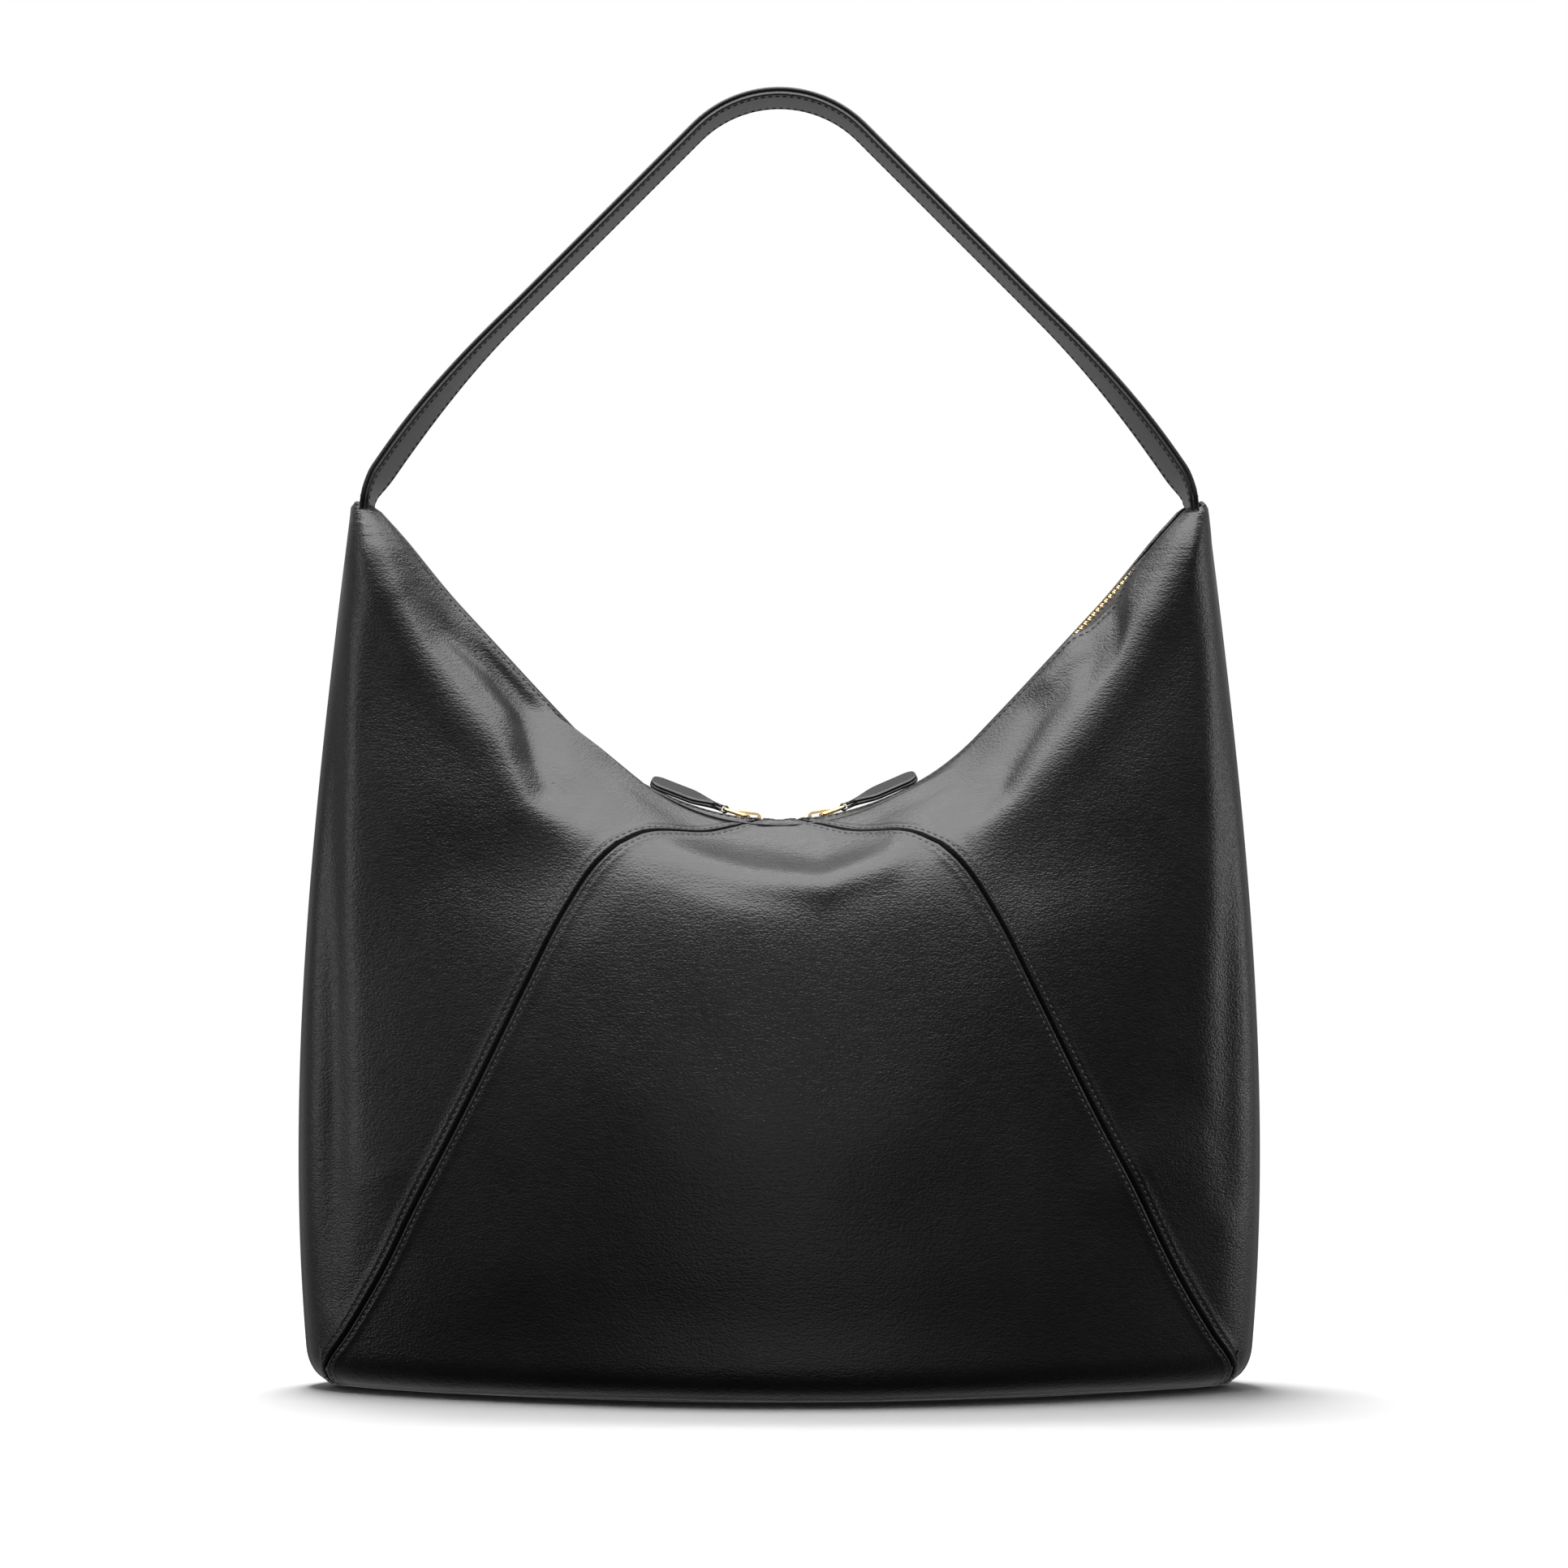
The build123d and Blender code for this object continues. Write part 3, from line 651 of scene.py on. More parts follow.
def line_beside(points, normals, distances, wanted):
    """The line on a grid at a wanted distance from its rows' start, where the rows are long enough."""
    line = []
    line_normals = []
    for row, row_normals, away in zip(points, normals, distances):
        if away.max() < 2.2 * wanted:
            continue
        order = np.argsort(away)
        line.append(sample([wanted], away[order], row[order])[0])
        line_normals.append(sample([wanted], away[order], row_normals[order])[0])
    return np.array(line), np.array(line_normals)


# ---------------------------------------------------------------- materials

class Nodes:
    """A node material under construction."""

    def __init__(self, name):
        self.material = bpy.data.materials.new(name)
        self.material.use_nodes = True
        self.tree = self.material.node_tree
        self.shader = self.tree.nodes["Principled BSDF"]

    def add(self, kind, inputs=(), **settings):
        """A node with its settings and its inputs, given by name or index, as values or outputs."""
        node = self.tree.nodes.new(kind)
        for key, value in settings.items():
            setattr(node, key, value)
        for key, value in dict(inputs).items():
            self.feed(node, key, value)
        return node

    def feed(self, node, key, value):
        if isinstance(value, bpy.types.NodeSocket):
            self.tree.links.new(value, node.inputs[key])
        else:
            node.inputs[key].default_value = value

    def coordinates(self, scale=(1, 1, 1)):
        """Object coordinates, stretched."""
        where = self.add("ShaderNodeTexCoord").outputs["Object"]
        return self.add("ShaderNodeMapping", {"Vector": where, "Scale": scale}).outputs[0]

    def noise(self, where, scale, detail=3.0, rough=0.55):
        found = self.add(
            "ShaderNodeTexNoise", {"Vector": where, "Scale": scale, "Detail": detail, "Roughness": rough}
        )
        return found.outputs["Fac"]

    def fit(self, value, low, high, to_low, to_high):
        """Map a range of values to another one."""
        inputs = {"Value": value, "From Min": low, "From Max": high, "To Min": to_low, "To Max": to_high}
        return self.add("ShaderNodeMapRange", inputs).outputs[0]

    def mix(self, share, a, b):
        """Blend two colours."""
        node = self.add("ShaderNodeMix", data_type="RGBA")
        self.feed(node, 0, share)
        self.feed(node, 6, a)
        self.feed(node, 7, b)
        return node.outputs[2]

    def math(self, operation, a, b):
        return self.add("ShaderNodeMath", {0: a, 1: b}, operation=operation).outputs[0]

    def bump(self, height, strength, distance, under=None):
        inputs = {"Height": height, "Strength": strength, "Distance": distance}
        if under is not None:
            inputs["Normal"] = under
        return self.add("ShaderNodeBump", inputs).outputs[0]

    def set(self, **inputs):
        for key, value in inputs.items():
            self.feed(self.shader, key.replace("_", " "), value)
        return self.material


def leather(name, dark, light, grain, grain_depth, rough_low, rough_high, peaks=False):
    """Black leather: soft pebbled grain with painted shade in the grooves between pebbles, fine creases that
    run along the bag, and uneven sheen.
    """
    m = Nodes(name)
    where = m.coordinates((0.66, 1.0, 1.1))
    warp = m.add("ShaderNodeTexNoise", {"Vector": where, "Scale": 300.0, "Detail": 2.0}).outputs["Color"]
    shifted = m.add("ShaderNodeMix", data_type="VECTOR")
    m.feed(shifted, 0, 0.0014)
    m.feed(shifted, 4, where)
    m.feed(shifted, 5, warp)
    cells = m.add("ShaderNodeTexVoronoi", {"Vector": shifted.outputs[1], "Scale": grain, "Smoothness": 0.6},
                  feature="SMOOTH_F1")
    pebbles = m.fit(cells.outputs["Distance"], 0.1, 0.75, 1.0, 0.0)
    fine = m.noise(where, grain * 2.6, 3.0)
    creases = m.noise(m.coordinates((0.3, 1.0, 1.6)), grain * 0.4, 4.0, 0.6)
    height = m.math("ADD", m.math("MULTIPLY", pebbles, 0.5), m.math("MULTIPLY", creases, 0.7))
    height = m.math("ADD", height, m.math("MULTIPLY", fine, 0.2))
    normal = m.bump(height, 0.42, grain_depth)
    slow = m.noise(m.coordinates(), 22.0, 3.0)
    normal = m.bump(slow, 0.12, 0.003, normal)
    if peaks:
        split = m.add("ShaderNodeSeparateXYZ", {"Vector": m.add("ShaderNodeTexCoord").outputs["Object"]})
        mask = m.fit(split.outputs["Z"], 0.325, 0.368, 0.0, 1.0)
        wrinkles = m.noise(m.coordinates((0.4, 0.6, 3.0)), 110.0, 4.0, 0.6)
        normal = m.bump(m.math("MULTIPLY", wrinkles, mask), 0.7, 0.0009, normal)
    patches = m.noise(m.coordinates(), 9.0, 4.0)
    tone = m.mix(m.fit(patches, 0.35, 0.65, 0.0, 1.0), (*dark, 1), (*light, 1))
    # painted shade: the grooves between the pebbles are darkened towards near black
    tone = m.mix(m.fit(pebbles, 0.2, 0.6, 0.3, 0.0), tone, (0.002, 0.002, 0.002, 1))
    rough = m.fit(m.math("ADD", m.math("MULTIPLY", patches, 0.5), m.math("MULTIPLY", creases, 0.5)),
                  0.35, 0.65, rough_low, rough_high)
    return m.set(Base_Color=tone, Roughness=rough, Normal=normal, Specular_IOR_Level=0.5)


def cloth(name, dark, light, scale, depth):
    """Woven cloth: two sets of ribs across each other, with a soft sheen."""
    m = Nodes(name)
    where = m.coordinates()
    inputs = {"Vector": where, "Scale": scale, "Distortion": 0.6, "Detail": 1.0}
    ribs = [m.add("ShaderNodeTexWave", inputs, bands_direction=way).outputs["Fac"] for way in ("X", "Z")]
    weave = m.math("MULTIPLY", *ribs)
    slub = m.noise(where, scale * 0.4, 3.0)
    tone = m.mix(m.math("MULTIPLY", m.math("ADD", weave, slub), 0.5), (*dark, 1), (*light, 1))
    normal = m.bump(m.math("ADD", weave, slub), 0.5, depth)
    return m.set(Base_Color=tone, Roughness=m.fit(slub, 0.3, 0.7, 0.7, 0.9), Normal=normal, Sheen_Weight=0.15)


def metal(name, colour, tint, rough_low, rough_high):
    """Plated metal: polished, with fine brushing and slight tarnish in patches."""
    m = Nodes(name)
    where = m.coordinates()
    patches = m.noise(where, 240.0, 3.0)
    brushing = m.noise(m.coordinates((1, 1, 9)), 900.0, 3.0)
    tone = m.mix(m.fit(patches, 0.4, 0.75, 0.0, 1.0), (*colour, 1), (*tint, 1))
    rough = m.fit(m.math("ADD", patches, brushing), 0.7, 1.3, rough_low, rough_high)
    return m.set(Base_Color=tone, Metallic=1.0, Roughness=rough, Normal=m.bump(brushing, 0.12, 0.00008))


def thread(name, dark, light):
    """Waxed sewing thread: fine twist lines and a soft shine."""
    m = Nodes(name)
    inputs = {"Vector": m.coordinates((1, 1, 1.6)), "Scale": 900.0, "Distortion": 1.5}
    twist = m.add("ShaderNodeTexWave", inputs, bands_direction="DIAGONAL").outputs["Fac"]
    tone = m.mix(twist, (*dark, 1), (*light, 1))
    return m.set(Base_Color=tone, Roughness=m.fit(twist, 0, 1, 0.5, 0.62), Normal=m.bump(twist, 0.5, 0.0001))


def board(name, dark, light):
    """Pressed fibre board: mottled, with short fibres."""
    m = Nodes(name)
    fibres = m.noise(m.coordinates((1, 6, 1)), 220.0, 5.0, 0.7)
    tone = m.mix(fibres, (*dark, 1), (*light, 1))
    rough = m.fit(fibres, 0.3, 0.7, 0.75, 0.95)
    return m.set(Base_Color=tone, Roughness=rough, Normal=m.bump(fibres, 0.4, 0.0003))


def floor_finish(name):
    """Matt pale paper that fades into the white surroundings away from the bag."""
    m = Nodes(name)
    where = m.coordinates()
    grain = m.noise(where, 60.0, 4.0)
    tone = m.mix(grain, (0.9, 0.9, 0.9, 1), (0.94, 0.94, 0.94, 1))
    away = m.add("ShaderNodeVectorMath", {0: where}, operation="LENGTH").outputs["Value"]
    m.material.surface_render_method = "BLENDED"
    return m.set(Base_Color=tone, Roughness=m.fit(grain, 0.3, 0.7, 0.85, 0.95), Specular_IOR_Level=0.1,
                 Alpha=m.fit(away, 0.3, 0.5, 1.0, 0.0))


# Colours, the grain's scale and depth in metres, then the range of roughness
GRAINED = leather("grained_leather", (0.0022, 0.0022, 0.0024), (0.0042, 0.0042, 0.0045),
                  1250.0, 0.0004, 0.32, 0.40, peaks=True)
STRAP_LEATHER = leather("strap_leather", (0.003, 0.003, 0.0032), (0.0055, 0.0055, 0.0058),
                        1500.0, 0.00012, 0.36, 0.44)
THREAD = thread("black_thread", (0.006, 0.006, 0.006), (0.03, 0.03, 0.032))
LINING_CLOTH = cloth("lining_twill", (0.035, 0.035, 0.038), (0.08, 0.08, 0.085), 900.0, 0.0002)
TAPE_CLOTH = cloth("zip_tape", (0.008, 0.008, 0.008), (0.022, 0.022, 0.022), 1100.0, 0.0002)
ZIP_METAL = metal("zip_metal", (0.86, 0.62, 0.27), (0.74, 0.5, 0.2), 0.18, 0.3)
GOLD = metal("gold_metal", (0.9, 0.66, 0.29), (0.8, 0.56, 0.22), 0.12, 0.24)
BOARD = board("fibre_board", (0.12, 0.11, 0.1), (0.24, 0.22, 0.2))


# ---------------------------------------------------------------- leather panels

PANEL_MIDDLE = 62       # points between the ladders at a row's two ends
MOUTH_STITCH_END = 164  # where the row along the mouth stops, on both flanks
wing = Panel(wing_rows(), SEAM_LADDER, PANEL_MIDDLE, SIDE_LADDER)
centre = Panel(centre_rows(), SEAM_LADDER, PANEL_MIDDLE, SEAM_LADDER)
wing.points[:, -1, 1] = 0       # the front and back wings meet exactly at the side seam


def quarter(panel, name, folds, mirror_x, mirror_y, both_seams=False):
    """Make one panel with its stitches."""
    raised = shape_mouth(turned(relief(panel, folds, mirror_x, both_seams), mirror_x, mirror_y))
    reversed_rows = mirror_x != mirror_y and not both_seams
    start, top = [d[:, ::-1] if reversed_rows else d for d in (panel.from_start, panel.from_top)]
    normals = mesh_normals(raised)
    facing = (normals * turned(panel.normals, mirror_x, mirror_y)).sum(-1).mean()
    normals = normals * np.sign(facing)
    order = slice(None) if facing > 0 else slice(None, None, -1)
    make_object(f"leather_{name}", *closed_sheet(raised[:, order], normals[:, order], LEATHER), GRAINED,
                body="bag", slot="grained_leather", replaces=(name,))
    paths = [line_beside(raised, normals, start, STITCH_OFFSET)]
    if both_seams:
        paths.append(line_beside(raised, normals, panel.from_end, STITCH_OFFSET))
    else:
        columns, column_normals, column_tops = [np.swapaxes(g, 0, 1) for g in (raised, normals, top)]
        keep = np.abs(columns[:, -1, 1]) < MOUTH_SLOT + 0.5
        keep &= np.abs(columns[:, -1, 0]) < MOUTH_STITCH_END
        paths.append(line_beside(columns[keep], column_normals[keep], column_tops[keep], STITCH_OFFSET))
    stitches(f"stitches_{name}", paths, slot="strap_leather")


for y_name, folds, mirror_y in (("front", FRONT_FOLDS, False), ("back", BACK_FOLDS, True)):
    quarter(centre, f"{y_name}_centre_panel", folds, False, mirror_y, both_seams=True)
    for x_name, mirror_x in (("left", True), ("right", False)):
        quarter(wing, f"{y_name}_{x_name}_wing", folds, mirror_x, mirror_y)


# ---------------------------------------------------------------- base, lining and pocket

LINING_INSET = 2.7
LINING = 0.8
LINING_FLOOR = 4.6
FLOOR_SHARES = (0.985, 0.93)     # of the base's length and depth that the lining's floor covers
POCKET_INSET = 4.4
POCKET_HALF_WIDTH = 75
POCKET_BOTTOM = 70
POCKET_TOP = 185


def base_outline():
    """Front half of the base panel's edge, from left to right, as (x, y)."""
    right_tip = wing.points[0, 1:, :2]
    left_tip = right_tip[::-1] * (-1, 1)
    return np.concatenate([left_tip, centre.points[0, :, :2], right_tip])


def base_grid(outline, lift, columns=40):
    """Points of a flat lens-shaped sheet: columns across the base for each point of its edge."""
    across = np.sin(np.linspace(-pi / 2, pi / 2, columns))
    y = outline[:, 1, None] * -across
    x = np.repeat(outline[:, :1], columns, axis=1)
    return np.stack([x, y, np.full_like(x, lift)], axis=-1)


def make_base():
    """The leather under the bag, with a groove where it meets the panels."""
    grid = base_grid(base_outline(), 0.0)
    edge = np.abs(grid[:, :1, 1]) - np.abs(grid[..., 1])
    grid[..., 2] = 1.2 * bell(edge, 0.8) + 0.25 * ramp(5, 9, edge)
    down = np.zeros_like(grid)
    down[..., 2] = -1
    make_object("leather_base_panel", *closed_sheet(grid[::-1], down, LEATHER), GRAINED,
                body="bag", slot="grained_leather", replaces=("base_panel",))


def inner_sheet(panel, folds, mirror_x, mirror_y, inset, every=3):
    """A sheet that follows a panel inside the leather, above the base board."""
    p = panel.points + (fold_relief(panel, folds, mirror_x) - inset)[..., None] * panel.normals
    p[..., 2] = np.maximum(p[..., 2], LINING_FLOOR)
    rows = np.unique(np.r_[0:p.shape[0]:every, p.shape[0] - 1])
    columns = np.unique(np.r_[0:p.shape[1]:every, p.shape[1] - 1])
    p = shape_mouth(turned(p[np.ix_(rows, columns)], mirror_x, mirror_y))
    normals = turned(panel.normals[np.ix_(rows, columns)], mirror_x, mirror_y)
    return closed_sheet(p, normals, LINING)


def make_lining():
    """Two halves of the lining, each with its share of the floor, and the pocket on the back one."""
    floor_outline = base_outline() * FLOOR_SHARES
    for y_name, folds, mirror_y in (("front", FRONT_FOLDS, False), ("back", BACK_FOLDS, True)):
        shapes = [inner_sheet(centre, folds, False, mirror_y, LINING_INSET)]
        shapes += [inner_sheet(wing, folds, mirror_x, mirror_y, LINING_INSET) for mirror_x in (True, False)]
        front_half, back_half = np.split(base_grid(floor_outline, LINING_FLOOR), 2, axis=1)
        half = back_half if mirror_y else front_half
        up = np.zeros_like(half)
        up[..., 2] = 1
        shapes.append(closed_sheet(half, up, LINING))
        make_object(f"cloth_lining_{y_name}", *joined(shapes), LINING_CLOTH,
                    body="bag", slot="lining", replaces=(f"lining_{y_name}",))
    x, z = np.meshgrid(np.linspace(-POCKET_HALF_WIDTH, POCKET_HALF_WIDTH, 40),
                       np.linspace(POCKET_BOTTOM, POCKET_TOP, 32))
    start = onto_body(np.stack([x, -face_depth(x, z), z], axis=-1), steps=4)
    normals = outward(start)
    hem = 0.5 * bell(POCKET_TOP - 8 - z, 6)
    raised = start + (fold_height(x, z, BACK_FOLDS) - POCKET_INSET - hem)[..., None] * normals
    pocket = closed_sheet(turned(raised, False, True), turned(normals, False, True), LINING)
    make_object("cloth_inner_pocket", *pocket, LINING_CLOTH,
                body="bag", slot="lining", replaces=("inner_pocket",))


make_base()
make_lining()


# ---------------------------------------------------------------- zip

FACING_DEPTHS = (1.65, 2.7)
TAPE_DEPTHS = (2.75, 3.35)
FACING_EDGE = 5.0
TAPE_EDGE = 1.2
ZIP_REACH = 12.5
TOOTH_PITCH = 2.55
ZIP_MARGIN = 0.8        # from an end of the zip to its nearest tooth
TOOTH_MIDDLE = 3.05     # depth of the teeth's middle below the mouth line
TOOTH_SECTIONS = (      # distance from the zip's middle, half length and half height
    (0.46, 0.30, 0.50), (0.62, 0.48, 0.80), (1.15, 0.52, 0.92),
    (1.5, 0.64, 1.1), (2.8, 0.64, 1.15), (3.02, 0.5, 0.95),
)
ZIP_LENGTH = MOUTH_RADIUS * MOUTH_ANGLE + ZIP_FLANK
STRIP_LENGTH = MOUTH_RADIUS * MOUTH_ANGLE + STRIP_FLANK


def mouth_strip(section, side, count=240):
    """A strip along the mouth whose section is a loop of (distance from y = 0, depth)."""
    along = np.linspace(-STRIP_LENGTH, STRIP_LENGTH, count)
    x, z, nx, nz = mouth_line(along)
    section = np.array(section)
    room = flat_at(x)[:, None] - 0.4
    points = np.zeros((count, len(section), 3))
    points[..., 0] = x[:, None] - nx[:, None] * section[:, 1]
    points[..., 1] = side * np.minimum(section[:, 0], room)
    points[..., 2] = z[:, None] - nz[:, None] * section[:, 1]
    points = shape_mouth(points)
    faces = tube_faces(count, len(section))
    return points, flipped(faces) if side > 0 else faces


def strip_section(inner, outer, top, bottom, edge):
    """Section of a strip with a rounded inner edge."""
    middle = (top + bottom) / 2
    half = (bottom - top) / 2
    section = [(outer, bottom), (outer, top)]
    section += [(inner + edge - edge * sin(a), middle - half * cos(a)) for a in np.linspace(0, pi, 7)]
    return section


def tooth():
    """Points and faces of one zip tooth, along x, across y and up z."""
    around = 10
    points = []
    for across, half_length, half_height in TOOTH_SECTIONS:
        for k in range(around):
            a = 2 * pi * k / around
            reach = 1 / max(abs(cos(a)), abs(sin(a))) ** 0.5
            points.append((half_length * cos(a) * reach, across, half_height * sin(a) * reach))
    return np.array(points), flipped(tube_faces(len(TOOTH_SECTIONS), around))


def make_zip():
    """Facings, ribbed tapes and the two rows of teeth, which stand half a pitch apart."""
    facing = strip_section(FACING_EDGE, ZIP_REACH, *FACING_DEPTHS, 0.5)
    tape = strip_section(TAPE_EDGE, ZIP_REACH, *TAPE_DEPTHS, 0.3)
    template, template_faces = tooth()
    for y_name, side in (("front", -1), ("back", 1)):
        make_object(f"leather_zip_facing_{y_name}", *mouth_strip(facing, side), STRAP_LEATHER,
                    body="bag", slot="grained_leather", replaces=(f"zip_facing_{y_name}",))
        make_object(f"cloth_zip_tape_{y_name}", *mouth_strip(tape, side), TAPE_CLOTH,
                    body="bag", slot="zip_tape", replaces=(f"zip_tape_{y_name}",))
        first = ZIP_MARGIN + (TOOTH_PITCH / 2 if side > 0 else 0)
        along = np.arange(-ZIP_LENGTH + first, ZIP_LENGTH - ZIP_MARGIN, TOOTH_PITCH)
        x, z, nx, nz = mouth_line(along)
        zero = np.zeros_like(x)
        centres = np.stack([x - nx * TOOTH_MIDDLE, zero, z - nz * TOOTH_MIDDLE], axis=1)
        frames = np.stack([
            np.stack([nz, zero, -nx], axis=1),
            np.stack([zero, zero + side, zero], axis=1),
            np.stack([nx, zero, nz], axis=1),
        ], axis=1)
        points, faces = scattered(template, template_faces, centres, frames)
        make_object(f"teeth_{y_name}", shape_mouth(points), flipped(faces) if side < 0 else faces, ZIP_METAL,
                    body="bag", slot="zip_metal", replaces=(f"zip_chain_{y_name}",))


make_zip()


# ---------------------------------------------------------------- strap

STRAP_HALF_WIDTH = 15
CROWN_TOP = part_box("strap_outer")[1].z / MM
CROWN_RADIUS = 51
FLANK_ANGLE = radians(45)
FLANK_LENGTH = 113
FOOT_RADIUS = 427
FOOT_END = radians(56.5)
ROOT_FACE = 175.4       # the strap's outer face inside the peak
ROOT_BOTTOM = 358
ROOT_TAPER = 0.17       # share by which the hidden ends are narrower
STRAP_TWIST = radians(8)
SPLIT_DEPTH = 2.0       # where the two layers meet at the strap's edges
CORE_HALF_WIDTH = 13
CORE_DEPTHS = (1.55, 2.45)      # below the strap's outer face
STRAP_STITCH_INSET = 2.7
STRAP_LADDER = np.array([0, 0.15, 0.35, 0.6, 1, 1.5, 2.1, 2.7, 3.3, 4.2, 6, 9, 12, 15])      # in from an edge


def strap_path(step=2.5):
    """Outer face of the strap in the XZ plane from the left root over the crown to the right root."""
    crown_z = CROWN_TOP - CROWN_RADIUS
    angle = np.linspace(0, FLANK_ANGLE, 16)
    crown = np.stack([CROWN_RADIUS * np.sin(angle), crown_z + CROWN_RADIUS * np.cos(angle)], axis=1)
    along = np.linspace(0, FLANK_LENGTH, 20)[1:-1, None]
    flank = crown[-1] + along * (cos(FLANK_ANGLE), -sin(FLANK_ANGLE))
    foot_start = crown[-1] + FLANK_LENGTH * np.array((cos(FLANK_ANGLE), -sin(FLANK_ANGLE)))
    foot_centre = foot_start - FOOT_RADIUS * np.array((sin(FLANK_ANGLE), cos(FLANK_ANGLE)))
    angle = np.linspace(FLANK_ANGLE, FOOT_END, 12)
    foot = foot_centre + FOOT_RADIUS * np.stack([np.sin(angle), np.cos(angle)], axis=1)
    root = np.array([(ROOT_FACE - 1.3, 373), (ROOT_FACE - 0.2, 367), (ROOT_FACE, ROOT_BOTTOM)])
    right = np.concatenate([crown, flank, foot, root])
    whole = np.concatenate([right[:0:-1] * (-1, 1), right])
    whole = np.insert(whole, 1, 0, axis=1)
    length = lengths_along(whole)[-1]
    return spline(whole, np.linspace(0, 1, int(length / step)))


def strap_frames(path):
    """Tangent, outward normal and sideways direction at each point, with the twist near the roots."""
    tangent = np.gradient(path, axis=0)
    tangent /= np.linalg.norm(tangent, axis=1, keepdims=True)
    across = np.tile((0.0, 1.0, 0.0), (len(path), 1))
    out = np.cross(tangent, across)
    out *= np.sign((out * (path - (0, 0, 400))).sum(1).mean())
    height = path[:, 2]
    twist = STRAP_TWIST * ramp(371, 384, height) * (1 - 0.75 * ramp(392, 460, height))
    c, s = np.cos(twist)[:, None], np.sin(twist)[:, None]
    width = 1 - ROOT_TAPER * ramp(374, 366, height)[:, None]
    return out * c + across * s, (across * c - out * s) * width


def strap_layer(section, path, out, across):
    """A layer of the strap whose section is a loop of (across, depth)."""
    section = np.array(section)
    points = (
        path[:, None]
        + across[:, None] * section[None, :, :1]
        - out[:, None] * section[None, :, 1:]
    )
    return points, tube_faces(*points.shape[:2])


def half_loop(face, inner, split):
    """Section of an outer layer: a face with rolled edges and stitch dips, closed against the core."""
    loop = []
    across = np.concatenate([STRAP_LADDER - STRAP_HALF_WIDTH, (STRAP_HALF_WIDTH - STRAP_LADDER)[-2::-1]])
    for place in across:
        edge = STRAP_HALF_WIDTH - abs(place)
        roll = 0.45 * (1 - np.clip(edge / 0.6, 0, 1)) ** 2
        dip = 0.18 * bell(edge - STRAP_STITCH_INSET, 0.7)
        dome = -0.2 * (1 - (place / STRAP_HALF_WIDTH) ** 2)
        loop.append((place, face + roll + dip + dome))
    core_share = CORE_HALF_WIDTH / STRAP_HALF_WIDTH
    step = (core_share + 0.03) * STRAP_HALF_WIDTH
    back = [(STRAP_HALF_WIDTH - 0.35, split), (step, split), (CORE_HALF_WIDTH, inner)]
    return loop + back + [(-place, depth) for place, depth in back[::-1]]


def blended(obj, slot, *nodes):
    """A piece of the strap, which runs into the bag below the peaks: hide the CAD nodes it replaces and bake
    its placement into its mesh.
    """
    if nodes:
        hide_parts(*nodes)
    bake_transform(obj)


def make_strap():
    """Two leather layers, the core between them and a row of stitches beside each edge of each face."""
    path = strap_path()
    out, across = strap_frames(path)
    outer_loop = half_loop(0.2, 1.5, SPLIT_DEPTH - 0.06)
    inner_loop = [(-b, 2 * SPLIT_DEPTH - d) for b, d in outer_loop]
    upper, lower = CORE_DEPTHS
    half = CORE_HALF_WIDTH
    core_loop = [(-half, upper), (half, upper), (half, lower), (-half, lower)]
    outer = make_object("leather_strap_outer", *strap_layer(outer_loop, path, out, across), STRAP_LEATHER)
    inner = make_object("leather_strap_inner", *strap_layer(inner_loop, path, out, across), STRAP_LEATHER)
    core = make_object("board_strap_core", *strap_layer(core_loop, path, out, across), BOARD)
    blended(outer, "strap_leather", "strap_outer", "strap_root_left", "strap_root_right")
    blended(inner, "strap_leather", "strap_inner")
    blended(core, "board", "strap_core")
    for face_name, depth, sign in (("outer", 0.22, 1), ("inner", 2 * SPLIT_DEPTH - 0.22, -1)):
        paths = []
        for edge in (-1, 1):
            line = path + across * edge * (STRAP_HALF_WIDTH - STRAP_STITCH_INSET) - out * depth
            shown = path[:, 2] > PEAK_HEIGHT - 4
            paths.append((line[shown], sign * out[shown]))
        rows = stitches(f"stitches_strap_{face_name}", paths, body=None)
        blended(rows, "strap_leather")


make_strap()


# ---------------------------------------------------------------- sliders, rings and pull tabs

TAB_LENGTH = 33
TAB_HALF_WIDTH = 6.5
TAB_NECK_HALF_WIDTH = 2.3
TAB_NECK_LENGTH = 3.2
TAB_THICKNESS = 3.0
TAB_STITCH_INSET = 1.9
FOLD_OUTER = 1.85
FOLD_INNER = 1.0
TAB_TILTS = {"left": 21.2, "right": 23.5}       # degrees up from level, outwards
TAB_ROLL = radians(16)      # the front edge of a tab's free end lies lower, in the mouth


def finish_cad(node, material):
    """Give a CAD node its material."""
    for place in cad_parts[node].material_slots:
        place.material = material


def tab_width(u):
    """Half width of a tab at a distance from its ring: a neck, shoulders, then a rounded end."""
    widen = ramp(TAB_NECK_LENGTH - 0.4, TAB_NECK_LENGTH + 2.2, u)
    width = TAB_NECK_HALF_WIDTH + (TAB_HALF_WIDTH - TAB_NECK_HALF_WIDTH) * widen
    end = np.clip((u - (TAB_LENGTH - 5.5)) / 5.5, 0, 1)
    return width * np.sqrt(np.clip(1 - 0.86 * end**2.6, 0, 1))


